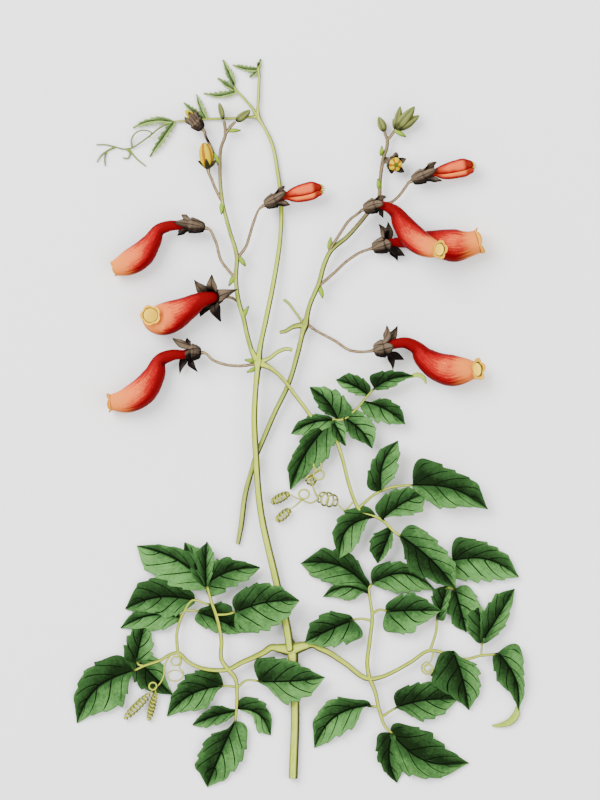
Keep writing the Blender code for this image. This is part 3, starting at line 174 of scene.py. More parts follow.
# How far the inner side of a bend folds in, the sharpest fold, and where folds fade
FOLD_DENT = 0.25
FOLD_MOST = 0.4
FOLD_FADES = (0.3, 0.46)
# Where along the tube its tilt begins, the lobes' least size and their roundness, and how late they flare
LEAN_FROM = 0.35
LOBE_LEAST = 0.35
LOBE_ROUNDNESS = 0.8
LIP_CURVE = 1.3
# How far the outside lies from the solid's middle surface
PETAL_OUT = 0.3
PETAL_WALL = 0.3
# How strongly the throat's painted glow lights it from within
THROAT_PAINTED_GLOW = 2.4

# Shut red buds: how far the tube and the lower lip lie from the solid's middle line, and their sizes beside
# the solid's radius; then the row of yellow teeth at the end
BUD_SHELLS = (((-0.1, 0.22, 0.1), 0.9), ((0.25, -0.8, -0.35), 0.85))
BUD_NECK = 0.8
BUD_TEETH = 5
BUD_TEETH_WIDTH = 1.9
BUD_TEETH_AHEAD = 0.75
BUD_TEETH_ROUND = 0.5
BUD_TEETH_UP = 0.4
BUD_TOOTH = (0.95, 0.25)
BUD_TOOTH_RADII = (0.27, 0.1)
BUD_RIB = 0.06
LOBE_BLUNTNESS = 0.45

# Calyces: the cup's rows as (height, width) parts, its size beside the sepals that lie on it, how dark the
# creases between them are and its share of their length
CUP_ROWS = ((0.0, 0.46), (0.12, 0.72), (0.3, 0.92), (0.65, 1.12), (1.0, 1.24))
CUP_INSIDE = 0.94
CUP_CREASE = 0.9
CUP_SHARE = 0.3
# Sepals: each rises along the cup from its low foot, then leads on, leans out and tapers to its tip
SEPAL_OUT = 0.16
SEPAL_WALL = 0.26
SEPAL_TAPER = 0.6
SEPAL_ONWARD = 0.4
SEPAL_LEAN = 0.2
SEPAL_ON_CUP = 0.42
SEPAL_LOW = 0.1
SEPAL_FOOT = 0.35
SEPAL_BREADTH = 1.35
SEPAL_BOW = 0.1
SEPAL_BELLY = 0.12
SEPAL_TIP = 0.04
# How far a sepal turns its face up and where along it that happens, how far below the rim its tip lies as
# its shade deepens, and where along it the shade begins
SEPAL_TWIST = 0.85
TWIST_BEGINS = (0.0, 0.6)
SEPAL_SHADE = (0.4, 2.6)
SHADE_BEGINS = (0.2, 0.6)

# Studio: soft lights as (name, place in metres, power in watts, size in metres), the floor and the camera
LIGHTS = (
    ("key light", (-0.7, 0.6, 1.0), 36.0, 0.9),
    ("fill light", (0.8, -0.3, 1.1), 14.0, 1.1),
)
FLOOR_SIZE = 4.0
FLOOR_GREY = 0.9
FLOOR_ROUGHNESS = 0.9
FLOOR_SHINE = 0.1
WORLD_LIGHT = 1.27
SENSOR = 36.0
CAMERA_HEIGHT = 1.4
CAMERA_MIDDLE_Y = 0.0058
VIEW_HEIGHT = 0.2
# The light that a white surface sends back here, and what makes up for the view's tone curve
STUDIO_LEVEL = 3.1
GREY_SHARES = (0.2126, 0.7152, 0.0722)
TONE_SATURATION = 0.88
TONE_MORE = 0.76
TONE_GAIN = 0.8
TONE_POWER = 0.89
TONE_LIFT = 2.0
LEAST_COLOUR = 0.0005
MOST_COLOUR = 0.9

# The main stem, from its cut end through its three nodes to its growing tip
MAIN_STEM = [(73.25, 5.5, 1.15, 1.12), (73.75, 24, 1.2, 1.1), (73.4, 33, 1.7, 1.1), (73.0, 37.6, 2.3, 1.35),
             (71.9, 42, 2.35, 1.05), (69, 55, 2.6, 0.95), (65, 73.5, 3.2, 0.86), (64, 86.25, 3.7, 0.8),
             (63.6, 96, 3.8, 0.76), (64.2, 105.5, 3.7, 0.76), (64.45, 107.9, 3.7, 0.86),
             (64.55, 109.25, 3.7, 1.3), (64.7, 110.7, 3.65, 0.88), (65.0, 112.8, 3.6, 0.72),
             (66.5, 120, 3.3, 0.65), (68.5, 130, 2.6, 0.62), (70, 140, 1.7, 0.56), (70.3, 148, 1.1, 0.52),
             (69.5, 156.25, 1.0, 0.48), (67.6, 165, 1.1, 0.44), (65.4, 169.2, 1.15, 0.44),
             (64.5, 170.75, 1.2, 0.62), (64.45, 172.4, 1.15, 0.42), (64.6, 176, 1.1, 0.4),
             (64.8, 181, 0.9, 0.34)]
# The lower part ends inside the low node, and the upper part stands on that node with a rounded foot
LOWER_STEM = MAIN_STEM[:4] + [(72.6, 39.6, 2.2, 1.0), (72.2, 41.0, 2.1, 0.6)]
UPPER_STEM = [(72.5, 37.9, 3.5, 0.98)] + MAIN_STEM[4:]
# Stubs of the left, the right and the upper leaf, of the left raceme and of the two young leaves
STEM_STUBS = [
    [(73.0, 37.6, 2.3, 1.6), (70.9, 37.9, 2.3, 1.35), (69.0, 38.1, 2.3, 1.0)],
    [(73.0, 37.6, 2.3, 1.6), (75.2, 38.4, 2.3, 1.35), (77.0, 38.8, 2.3, 1.0)],
    [(64.5, 109.25, 3.7, 1.0), (66.4, 108.6, 3.9, 0.8), (67.3, 108.1, 4.0, 0.65)],
    [(64.5, 109.25, 3.7, 1.0), (63.4, 111.4, 3.7, 0.75), (62.9, 112.5, 3.7, 0.65)],
    [(64.5, 170.75, 1.2, 0.5), (63.6, 171.9, 1.1, 0.4), (63.3, 172.5, 1.05, 0.36)],
    [(64.5, 170.75, 1.2, 0.5), (63.2, 170.7, 1.1, 0.4), (62.4, 170.65, 1.0, 0.36)],
]
CUT_STALK_STUB = [(64.5, 109.25, 3.7, 0.7), (67.5, 110.5, 4.2, 0.5), (69.5, 112, 4.3, 0.5),
                  (71.75, 112.75, 4.2, 0.5), (73.0, 112.5, 4.0, 0.45)]
# A bract is where it leaves its stalk, its tip and half its breadth
NODE_BRACTS = [
    ((64.0, 109.6, 3.7), (61.2, 110.0, 4.6), 0.5),
    ((64.0, 107.9, 3.7), (61.7, 106.9, 4.4), 0.45),
]

LEFT_RACEME = [(62.72, 112.9, 3.7, 0.62), (61.75, 116.5, 3.7, 0.6), (61, 120, 3.7, 0.6),
               (59.6, 125, 3.6, 0.58), (59, 130, 3.6, 0.56), (59.2, 136, 3.5, 0.55), (57.5, 142, 3.4, 0.5),
               (55.75, 148.75, 3.2, 0.47), (55, 157.5, 3.0, 0.44), (55.3, 163, 2.8, 0.42),
               (56.4, 166.4, 2.7, 0.42), (56.0, 169.6, 2.5, 0.38)]
LEFT_TIP_FORK = [(56.3, 166.2, 2.7, 0.4), (57.75, 168.3, 2.7, 0.36), (58.75, 169.3, 2.7, 0.34)]
LEFT_BRACTS = [
    ((58.8, 131.2, 3.6), (57.2, 128.4, 3.4), 0.5),
    ((59.9, 135.6, 3.6), (61.4, 133.4, 3.4), 0.5),
    ((60.6, 120.6, 3.7), (62.2, 123.4, 4.2), 0.5),
    ((55.5, 149.0, 3.3), (55.4, 146.2, 4.2), 0.45),
    ((57.1, 167.2, 2.7), (60.2, 167.3, 2.4), 0.4),
    ((54.9, 159.0, 3.0), (53.4, 161.8, 3.2), 0.4),
]
RIGHT_RACEME = [(59.45, 64.0, 0.75, 0.5), (60.1, 67.5, 0.9, 0.64), (61.5, 77.25, 1.5, 0.66),
                (62.75, 81.75, 1.75, 0.65), (64, 86, 1.92, 0.65), (65.5, 89.5, 2.0, 0.65),
                (68.75, 97, 2.2, 0.65), (72, 103.75, 2.4, 0.64), (74.5, 112, 2.9, 0.66),
                (75.7, 116.9, 3.15, 0.74), (76.2, 118.75, 3.2, 1.05), (76.65, 120.5, 3.2, 0.72),
                (77.2, 123, 3.2, 0.62), (79.75, 129.25, 3.1, 0.62), (81, 133.75, 3.0, 0.62),
                (82.5, 137, 3.0, 0.6), (86.75, 140.75, 2.9, 0.58), (91.75, 146.5, 2.6, 0.54),
                (94.5, 150, 2.3, 0.5), (95, 155, 2.2, 0.46), (95.6, 159.5, 2.2, 0.44),
                (96.75, 165, 2.2, 0.42), (96.2, 166.6, 2.2, 0.36), (95.95, 167.4, 2.2, 0.34)]
RIGHT_TIP_FORK = [(96.7, 164.8, 2.2, 0.4), (98, 166.3, 2.2, 0.36), (98.8, 167.6, 2.2, 0.34)]
# A cut side stalk and a thread at the right raceme's node
RIGHT_STUBS = [
    [(76.2, 118.75, 3.2, 0.9), (73.25, 118.25, 3.3, 0.62), (71.2, 117.1, 3.4, 0.5), (70, 116.9, 3.4, 0.42)],
    [(75.9, 119, 3.2, 0.4), (73.75, 122, 3.6, 0.3), (71.6, 124.6, 3.9, 0.36), (71, 125, 3.9, 0.34)],
]
RIGHT_BRACTS = [
    ((79.9, 128.3, 3.1), (80.7, 125.4, 3.4), 0.5),
    ((82.3, 137.6, 3.0), (82.7, 140.6, 2.2), 0.5),
    ((94.9, 152.6, 2.3), (94.4, 155.2, 3.0), 0.5),
    ((95.4, 161.0, 2.2), (95.4, 163.4, 3.0), 0.45),
    ((98.6, 167.4, 2.4), (101.4, 165.7, 2.2), 0.5),
]
# The stalks of flowers and buds: each ends where its calyx or bud begins, less the gap
MAIN_PEDICELS = {
    "flower_left_lower": [(64.2, 109.0, 3.7), (60, 108.5, 3.9), (56.75, 108.75, 4.1), (53.25, 110, 4.3)],
}
LEFT_PEDICELS = {
    "flower_left_upper": [(59.0, 130.3, 3.6), (57, 132.5, 3.8), (55.5, 134.5, 4.0), (53.75, 140, 4.1)],
    "flower_left_middle": [(60.7, 121.8, 3.7), (59.4, 124.6, 2.7), (57.6, 125.6, 2.0), (56.4, 125.75, 1.9)],
    "red_bud_left": [(59.3, 135.3, 3.5), (61.5, 138.25, 3.5), (62.5, 141.25, 3.7), (63.5, 144.5, 3.9)],
    "bud_left_brown": [(54.9, 158.6, 2.9), (53.6, 161.2, 0.9), (52.25, 164.25, 0.9), (51.4, 166.0, 2.6)],
    "bud_left_yellow": [(55.7, 149.3, 3.2), (54, 152.5, 3.3), (52.75, 155.5, 3.4)],
}
RIGHT_PEDICELS = {
    "flower_right_lower": [(76.75, 119, 3.2), (78, 118, 3.4), (83.25, 115, 4.0), (88, 112.25, 4.1),
                           (90.5, 112, 4.1)],
    "flower_right_middle": [(79.9, 128.6, 3.1), (83, 131.25, 3.0), (87.5, 135.25, 2.7), (90.4, 137.0, 2.5)],
    "flower_right_upper": [(82.3, 137.3, 3.1), (84.6, 140.9, 4.4), (87.4, 144.9, 5.2), (90.0, 146.9, 6.2)],
    "red_bud_right": [(94.5, 149.4, 2.3), (97.5, 149.25, 2.3), (99.25, 150.5, 2.8), (101.25, 153, 3.2)],
    "bud_right_star": [(95.3, 157.2, 2.2), (95.7, 159.0, 2.4)],
}

# Calyx: where its stalk meets it, the middle of its rim, the rim's radius, the five sepal tips and how much
# broader a sepal gets. Petals: a path from inside the calyx to the mouth, then how far the lip spreads and
# reaches forward. tilt turns the mouth up toward the viewer, in degrees; blush brings the peach colour
# nearer the neck.
FLOWERS = {
    "flower_left_upper": {
        "base": (51.2, 142.9, 4.1), "rim": (47.6, 143.6, 4.1), "radius": 1.45,
        "tips": [(45.4, 146.2, 4.4), (43.6, 144.2, 6.5), (44.4, 140.9, 5.0), (44.6, 141.9, 1.8),
                 (45.2, 144.8, 1.7)],
        "petals": [(45.4, 143.5, 4.1, 0.5), (42.6, 143.4, 4.0, 0.75), (40.0, 142.4, 3.8, 1.15),
                   (38.0, 139.4, 3.5, 2.1), (35.4, 136.2, 3.35, 2.95), (32.1, 134.1, 3.1, 2.8),
                   (28.7, 132.8, 2.9, 1.65)],
        "lip": (0.05, 0.4),
    },
    "flower_left_middle": {
        "base": (55.4, 125.9, 2.0), "rim": (53.5, 125.6, 4.3), "radius": 1.5,
        "tips": [(53.1, 131.2, 5.8), (48.6, 130.0, 5.2), (50.2, 120.9, 2.2), (55.3, 119.6, 4.4),
                 (59.6, 127.6, 5.6)],
        "petals": [(52.8, 125.5, 5.3, 0.8), (50.6, 124.9, 6.0, 1.35), (47.0, 122.9, 5.0, 2.6),
                   (43.8, 121.2, 3.95, 3.55), (41.2, 120.2, 4.05, 3.75), (39.9, 120.1, 4.3, 3.6),
                   (38.8, 120.3, 5.0, 3.1), (38.05, 120.8, 6.0, 2.35), (37.8, 121.1, 7.3, 1.75),
                   (37.8, 121.1, 8.0, 1.6)],
        "lip": (0.7, 0.3), "breadth": 2.1, "blush": 0.14,
    },
    "flower_left_lower": {
        "base": (50.2, 111.8, 4.3), "rim": (48.0, 111.9, 4.3), "radius": 1.6,
        "tips": [(46.8, 115.6, 4.6), (43.2, 115.4, 5.6), (45.0, 106.4, 2.6), (49.6, 106.9, 4.6),
                 (46.6, 110.4, 7.6)],
        "petals": [(46.2, 111.4, 4.1, 0.5), (43.3, 111.2, 4.0, 0.8), (40.4, 110.0, 3.8, 1.25),
                   (38.6, 106.1, 3.5, 2.45), (35.7, 102.1, 3.5, 3.2), (31.8, 99.9, 3.2, 2.85),
                   (28.0, 99.4, 2.95, 1.7)],
        "lip": (0.5, 0.7), "breadth": 1.6,
    },
    "flower_right_upper": {
        "base": (91.0, 147.4, 6.6), "rim": (93.7, 148.4, 7.0), "radius": 1.45,
        "tips": [(96.4, 150.5, 7.2), (95.8, 148.6, 9.7), (95.7, 145.2, 8.0), (95.6, 146.4, 4.9),
                 (95.8, 149.8, 4.7)],
        "petals": [(95.6, 148.3, 7.3, 0.5), (98.3, 147.0, 7.7, 1.05), (100.4, 144.0, 8.2, 2.2),
                   (102.8, 140.8, 8.8, 2.85), (105.7, 138.5, 9.5, 2.6), (108.2, 137.5, 10.6, 1.95),
                   (109.4, 137.3, 11.9, 1.35)],
        "lip": (0.85, 0.3),
    },
    "flower_right_middle": {
        "base": (93.2, 137.9, 2.4), "rim": (96.2, 138.8, 2.6), "radius": 1.6,
        "tips": [(96.9, 144.6, 2.6), (94.6, 143.8, 4.9), (97.8, 139.2, 4.9), (101.2, 135.9, 3.2),
                 (99.4, 134.6, 1.2)],
        "petals": [(98.6, 139.2, 2.3, 0.6), (101.8, 139.6, 2.0, 1.1), (106.0, 139.6, 2.6, 2.2),
                   (110.4, 138.9, 3.5, 3.4), (113.8, 138.5, 3.8, 3.8), (117.2, 138.9, 3.7, 2.9),
                   (119.0, 139.4, 3.6, 2.6)],
        "lip": (0.6, 1.0), "breadth": 1.9, "blush": -0.1,
    },
    "flower_right_lower": {
        "base": (93.5, 112.4, 4.1), "rim": (95.8, 112.9, 4.1), "radius": 1.7,
        "tips": [(99.3, 118.6, 4.6), (96.6, 118.7, 5.6), (98.4, 113.4, 7.2), (101.0, 110.0, 3.6),
                 (98.2, 107.3, 2.6)],
        "petals": [(98.4, 113.9, 4.1, 0.6), (101.3, 114.2, 4.0, 0.85), (103.8, 113.1, 3.9, 1.25),
                   (106.0, 110.6, 3.8, 2.4), (109.4, 108.3, 3.9, 3.3), (113.2, 107.3, 4.1, 3.6),
                   (116.5, 107.4, 4.5, 2.7), (119.0, 107.6, 5.0, 1.5)],
        "lip": (1.1, 0.5), "tilt": 27.0, "breadth": 1.7, "blush": -0.04,
    },
    "red_bud_left": {
        "base": (66.3, 148.6, 4.0), "rim": (68.8, 149.8, 4.1), "radius": 1.4,
        "tips": [(71.2, 153.3, 4.3), (71.6, 152.0, 6.2), (72.6, 148.6, 5.2), (72.0, 149.2, 2.5),
                 (71.2, 152.4, 2.3)],
        "petals": [(71.3, 150.7, 4.1, 0.65), (73.6, 151.4, 4.1, 1.25), (76.6, 152.1, 4.1, 1.75),
                   (78.6, 152.6, 4.1, 1.55), (79.6, 152.7, 4.1, 0.95)],
        "lip": (0.2, 0.35),
    },
    "red_bud_right": {
        "base": (103.1, 154.7, 3.5), "rim": (105.8, 155.9, 3.7), "radius": 1.4,
        "tips": [(109.0, 159.3, 4.2), (109.2, 157.6, 5.9), (110.4, 154.6, 4.6), (109.0, 155.4, 1.9),
                 (108.6, 158.4, 2.0)],
        "petals": [(108.2, 156.6, 3.7, 0.65), (110.8, 157.1, 3.7, 1.2), (114.0, 157.8, 3.7, 1.7),
                   (116.4, 158.3, 3.7, 1.6), (117.3, 158.4, 3.7, 1.1)],
        "lip": (0.2, 0.4),
    },
}
# Small buds: where the stalk meets it, its tip, its greatest radius, how blunt it is, its paint and its slot
BUDS = {
    "bud_left_yellow": ((52.1, 157.5, 3.6), (51.0, 164.2, 3.4), 1.95, 0.9, "yellow", "yellow_bud"),
    "bud_left_tip": ((55.85, 169.92, 2.4), (54.8, 174.2, 2.2), 0.8, 0.8, "green", "green_bud"),
    "bud_left_oval": ((59.0, 169.53, 2.7), (62.6, 172.3, 2.9), 1.2, 0.7, "green", "green_bud"),
    "bud_right_oval": ((96.1, 166.94, 2.2), (94.6, 170.7, 2.2), 1.25, 0.6, "green", "green_bud"),
    "bud_left_brown_petals": ((49.6, 168.6, 3.35), (46.4, 172.3, 3.6), 1.0, 0.9, "tip", "yellow_bud"),
    "bud_right_star_petals": ((98.5, 159.0, 3.0), (98.95, 158.5, 5.4), 1.8, 1.0, "star", "yellow_bud"),
}
BUD_CALYCES = {
    "bud_left_brown_calyx": {
        "base": (50.5, 167.7, 3.2), "rim": (49.0, 169.2, 3.4), "radius": 1.25, "breadth": 1.4,
        "tips": [(48.6, 172.4, 3.8), (47.2, 171.8, 5.0), (46.2, 170.6, 3.9), (46.8, 170.2, 2.4),
                 (48.3, 171.8, 2.2)],
    },
    "bud_right_star_calyx": {
        "base": (97.5, 159.4, 2.4), "rim": (98.4, 159.0, 3.2), "radius": 1.5, "breadth": 1.2,
        "tips": [(98.9, 161.7, 4.2), (101.5, 160.2, 3.6), (101.0, 156.8, 3.4), (97.9, 156.4, 4.0),
                 (96.3, 160.4, 4.2)],
    },
}
# The lobes of the tuft at the right tip, each with its foot, its point and its greatest radius
CLUSTER_LOBES = [
    ((99.0, 167.7, 2.5), (100.0, 173.3, 3.0), 1.25),
    ((99.2, 167.6, 2.9), (103.6, 173.2, 4.2), 1.75),
    ((99.3, 167.6, 2.6), (104.8, 171.0, 3.2), 1.5),
    ((98.9, 167.5, 2.5), (102.6, 169.0, 2.4), 1.0),
    ((98.7, 167.6, 2.4), (98.2, 170.2, 2.3), 0.6),
]
# Small dark scales at the foot of the yellow bud
BUD_SCALES = {
    "bud_left_yellow": [
        ((51.6, 158.3, 4.0), (49.6, 159.6, 4.2), 0.4),
        ((52.6, 158.3, 4.0), (54.0, 159.7, 4.0), 0.4),
        ((52.0, 157.9, 4.4), (51.6, 160.0, 5.6), 0.45),
    ],
}

# Leaf stalks as paths, then blades as (base, tip, bend, left edge, right edge, teeth). Left is to the left
# of a walk from base to tip. An edge is its distance from the straight line from base to tip near the base,
# in the middle and near the tip; a negative one lies across that line. The midrib bows left by the bend.
# Tendrils follow, each with the values that thread(), coil() or loop() takes.
LEAVES = {
    "leaf_left": {
        "stalks": [
            [(68.65, 38.15, 2.3, 0.95), (67.8, 38.2, 2.35, 0.9), (66.3, 37.2, 2.5, 0.82),
             (63.75, 35.9, 2.5, 0.72), (60.5, 34.5, 2.5, 0.65), (57.2, 32.8, 2.5, 0.62),
             (53.25, 32.6, 2.4, 0.55), (50, 33.2, 2.3, 0.5), (47, 34.7, 2.3, 0.48), (44.5, 36.9, 2.3, 0.46),
             (42.5, 36.4, 2.2, 0.42), (40.5, 35.2, 2.1, 0.4), (36, 33.6, 1.9, 0.36), (33, 32.1, 1.7, 0.32)],
            [(57, 32.8, 2.5, 0.6), (55.5, 35, 2.8, 0.55), (55.4, 40, 3.0, 0.5), (54.2, 46, 3.1, 0.46),
             (52.8, 50, 3.1, 0.42), (51.6, 54.4, 3.1, 0.36)],
            [(57.2, 32.6, 2.5, 0.58), (58.6, 31, 2.4, 0.52), (59.3, 26, 2.0, 0.46), (59, 21.5, 1.6, 0.36),
             (58.7, 19.0, 1.5, 0.32)],
            [(44.5, 36.9, 2.3, 0.42), (44.3, 42, 2.4, 0.38), (46, 47, 2.4, 0.34), (48.2, 50, 2.4, 0.32),
             (51.5, 49.2, 2.8, 0.3), (53.2, 48.9, 3.1, 0.3)],
            [(54.1, 46.4, 3.1, 0.34), (57, 46.6, 3.6, 0.3), (59.6, 47.4, 4.2, 0.3)],
            [(46.4, 47.4, 2.4, 0.32), (49, 47.4, 2.0, 0.28), (50.4, 47.0, 1.8, 0.26)],
            [(45.6, 46.6, 2.4, 0.3), (44.6, 45.6, 1.6, 0.28)],
            [(59.1, 28.4, 2.1, 0.36), (57, 28.6, 2.1, 0.3), (54.8, 28.6, 2.0, 0.3)],
            [(59.3, 28.2, 2.1, 0.36), (61.5, 30, 2.8, 0.3), (65.4, 29.8, 3.5, 0.3)],
            [(36, 33.6, 1.9, 0.34), (34.6, 34.0, 1.8, 0.3), (34.2, 35.4, 1.8, 0.3)],
        ],
        "blades": [
            ((51.8, 54.0, 3.2), (34.3, 63.5, 0.6), -1.9, (2.6, 4.6, 4.2), (3.0, 5.0, 3.1), 3),
            ((51.5, 53.6, 3.7), (46.2, 64.4, 1.6), 0.0, (1.0, 1.8, 1.6), (1.5, 2.8, 2.6), 2),
            ((51.6, 53.8, 4.0), (51.8, 64.6, 2.2), 0.2, (1.0, 2.4, 2.4), (0.9, 1.7, 1.7), 2),
            ((51.6, 54.3, 3.2), (65.0, 58.2, 2.6), 1.3, (3.4, 5.1, 2.6), (3.6, 2.9, 2.0), 2),
            ((59.0, 47.2, 4.2), (74.8, 50.0, 4.6), 1.1, (4.4, 6.2, 4.3), (5.4, 5.9, 3.8), 3),
            ((49.6, 47.0, 1.8), (61.3, 42.0, 0.8), 0.3, (2.0, 4.8, 3.2), (2.6, 3.0, 1.9), 2),
            ((48.6, 50.0, 2.4), (31.4, 47.8, 0.5), -2.0, (1.6, 3.6, 1.8), (3.3, 7.0, 6.0), 3),
            ((45.4, 45.8, 1.6), (30.2, 43.0, 0.4), -1.9, (1.1, 2.3, 0.9), (1.4, 3.4, 3.3), 2),
            ((34.0, 34.3, 1.8), (36.5, 44.8, 0.6), 0.2, (3.2, 3.9, 2.8), (3.4, 3.5, 2.0), 2),
            ((34.2, 35.2, 1.8), (43.0, 26.5, 0.5), 0.0, (3.1, 3.8, 1.3), (2.9, 4.5, 2.6), 2),
            ((33.3, 32.4, 1.8), (19.3, 19.3, 0.3), -3.1, (0.9, 4.6, 1.4), (6.2, 8.2, 6.0), 3),
            ((55.8, 28.7, 2.0), (41.8, 21.0, 0.4), -2.0, (0.4, 2.9, 1.0), (5.2, 6.8, 4.4), 3),
            ((64.8, 29.8, 3.5), (81.2, 30.8, 3.3), -0.3, (5.8, 5.3, 2.6), (1.3, 6.0, 4.4), 3),
            ((59.2, 22.4, 1.7), (48.2, 18.8, 0.4), -0.5, (0.9, 1.8, 1.7), (0.9, 2.9, 1.9), 2),
            ((58.9, 23.0, 1.7), (67.6, 16.3, 0.5), 2.4, (4.1, 5.6, 3.9), (-0.5, -1.1, 1.2), 2),
            ((58.8, 19.8, 1.6), (51.8, 3.3, 0.3), -0.3, (3.9, 5.4, 4.0), (0.8, 5.1, 5.2), 3),
        ],
        "tendrils": [
            ("thread", [(42.5, 36.2, 2.2), (41.2, 33.8, 2.4), (41, 31.2, 2.6), (40, 29.2, 2.7),
                        (38.6, 27.9, 2.8), (37.4, 26.6, 2.0)]),
            ("thread", [(38.8, 28.2, 2.8), (39.1, 25.6, 1.6), (38.2, 23.4, 0.7), (37.2, 20.2, 0.4)]),
            ("coil", (37.5, 26.7, 1.9), (31.2, 20.4, 1.0), 0.95, 9),
            ("thread", [(44.5, 36.6, 2.4), (45.3, 35.4, 2.6), (44.8, 34.0, 2.7), (43.4, 33.9, 2.8),
                        (42.8, 35.0, 2.9), (43.7, 36.0, 3.1), (45.0, 35.6, 3.2), (45.3, 34.4, 3.1),
                        (44.9, 33.2, 2.9), (45.8, 32.2, 2.8), (45.8, 30.9, 2.7), (44.2, 29.9, 2.6),
                        (42.4, 30.3, 2.6), (41.9, 31.5, 2.8), (43.2, 32.5, 3.0), (45.1, 32.3, 3.2),
                        (46.0, 31.3, 3.2)]),
            ("loop", (38.3, 28.6, 2.8), (0.95, 0.9), (0.95, 0.9), 1.1, 0.0, 0.5, 16),
            ("coil", (38.9, 26.9, 1.3), (37.2, 20.0, 0.8), 0.78, 8),
        ],
    },
    "leaf_right": {
        "stalks": [
            [(77.35, 38.87, 2.3, 0.95), (78.2, 39.0, 2.35, 0.9), (79.7, 38.2, 2.5, 0.82),
             (82.5, 36.8, 2.5, 0.75), (86.25, 34.3, 2.5, 0.68), (92.5, 30.4, 2.5, 0.62),
             (95, 30.8, 2.4, 0.55), (98.75, 32.4, 2.3, 0.5), (102.5, 34.5, 2.2, 0.48),
             (107.5, 37.5, 2.2, 0.44), (111, 36.9, 2.2, 0.4), (115.5, 35.3, 2.2, 0.38),
             (120.2, 36.2, 2.2, 0.35), (124.5, 36.6, 2.2, 0.32)],
            [(92.3, 30.6, 2.5, 0.58), (91.8, 33.5, 2.6, 0.54), (92.4, 40, 2.6, 0.5), (93, 46, 2.4, 0.44),
             (92.5, 50, 2.0, 0.38), (92, 52.6, 1.7, 0.34)],
            [(92.3, 30.6, 2.5, 0.58), (93.6, 27.6, 2.3, 0.52), (94.8, 22.6, 2.0, 0.46),
             (96.6, 18, 1.6, 0.38), (98.6, 16.4, 1.5, 0.34)],
            [(107.5, 37.5, 2.2, 0.38), (109, 42.4, 2.0, 0.34), (109.3, 46, 1.8, 0.32)],
            [(92.6, 45.0, 2.5, 0.36), (90.6, 45.4, 2.8, 0.32), (87.4, 45.1, 3.2, 0.3)],
            [(93, 46.6, 2.4, 0.36), (94.6, 47.6, 2.4, 0.32), (97.4, 47.2, 2.4, 0.3)],
            [(120.2, 36.2, 2.2, 0.32), (120.5, 40.2, 2.2, 0.3)],
            [(94.6, 23.4, 2.0, 0.36), (92, 23.6, 2.0, 0.3)],
            [(95.5, 21, 1.9, 0.36), (98, 22.6, 2.0, 0.32), (99.6, 23.5, 2.0, 0.3)],
            [(111.0, 36.9, 2.2, 0.34), (113.4, 36.6, 2.6, 0.3)],
            [(110.6, 52.2, 1.4, 0.3), (112.4, 53.2, 1.3, 0.3), (114.0, 52.2, 1.3, 0.3)],
            [(110.6, 50.6, 0.8, 0.32), (112.0, 56, 0.8, 0.3), (113.2, 60.4, 1.1, 0.3)],
            [(92.4, 51.0, 1.9, 0.34), (92.3, 53.2, 1.8, 0.32), (93.6, 54.6, 1.8, 0.3)],
        ],
        "blades": [
            ((88.2, 45.2, 3.2), (76.2, 39.6, 3.8), -0.3, (5.0, 4.6, 2.7), (2.2, 4.5, 3.7), 2),
            ((96.6, 47.2, 2.4), (110.2, 47.4, 2.6), 0.3, (2.8, 4.9, 2.7), (5.2, 5.5, 2.4), 2),
            ((92.2, 52.9, 1.7), (75.2, 59.2, 0.5), -2.9, (0.8, 2.0, 2.2), (2.6, 6.6, 5.9), 3),
            ((92.2, 51.6, 1.9), (80.8, 50.8, 0.7), -2.2, (-0.4, 1.3, 0.3), (1.5, 2.6, 2.7), 2),
            ((93.0, 54.3, 1.8), (108.4, 52.8, 0.6), 3.2, (4.7, 6.1, 3.6), (0.8, 1.9, 1.0), 3),
            ((109.3, 45.4, 1.9), (111.8, 53.6, 1.3), 0.0, (0.4, 2.5, 3.2), (1.8, 1.6, 1.6), 2),
            ((113.7, 52.6, 1.4), (116.6, 42.0, 0.5), 0.0, (3.8, 5.0, 2.6), (1.6, 3.2, 2.8), 2),
            ((113.1, 60.0, 1.4), (129.6, 55.8, 1.0), 2.4, (6.2, 6.4, 4.8), (4.2, 3.9, 2.0), 3),
            ((120.5, 39.4, 2.2), (119.4, 49.6, 0.8), 0.0, (1.8, 3.5, 2.9), (0.8, 1.2, 1.2), 2),
            ((120.4, 39.6, 2.2), (128.6, 52.8, 0.6), 0.0, (1.4, 3.8, 3.4), (1.6, 2.9, 1.6), 3),
            ((113.2, 37.4, 2.7), (117.2, 22.6, 0.8), 0.4, (1.2, 5.2, 3.9), (4.3, 7.2, 2.8), 3),
            ((124.4, 36.9, 2.2), (129.6, 22.4, 1.0), 1.9, (5.7, 4.6, 2.9), (1.9, 2.6, 0.2), 3),
            ((92.6, 23.8, 2.0), (78.6, 13.1, 0.4), -3.2, (-0.5, 1.8, 1.1), (3.1, 7.3, 5.8), 3),
            ((99.2, 23.4, 2.0), (114.2, 25.2, 0.7), 0.9, (4.2, 5.4, 4.7), (1.2, 4.4, 3.2), 3),
            ((97.6, 17.1, 1.5), (117.2, 9.3, 0.3), -3.4, (3.0, 3.6, 1.3), (4.5, 8.4, 6.0), 3),
            ((98.0, 16.7, 1.6), (99.2, 4.4, 0.3), -1.4, (1.5, 2.5, 1.9), (3.9, 4.5, 2.9), 2),
        ],
        "curl": [(129.4, 23.4, 1.0, 0.5), (129.0, 21.4, 0.9, 0.9), (127.4, 19.6, 0.9, 0.9),
                 (125.2, 18.8, 0.8, 0.6), (123.3, 18.6, 0.6, 0.3)],
        "tendrils": [
            ("thread", [(108.3, 37.4, 2.2), (107.6, 34.8, 2.8), (106.4, 33.6, 3.0)]),
            ("loop", (106.9, 33.0, 2.9), (1.7, 1.7), (0.6, 0.6), 1.7, 1.6, 0.9, 27),
        ],
    },
    "leaf_upper": {
        "stalks": [
            [(67.65, 107.95, 4.1, 0.62), (69.4, 106.6, 4.4, 0.5), (71.3, 104.6, 4.5, 0.48),
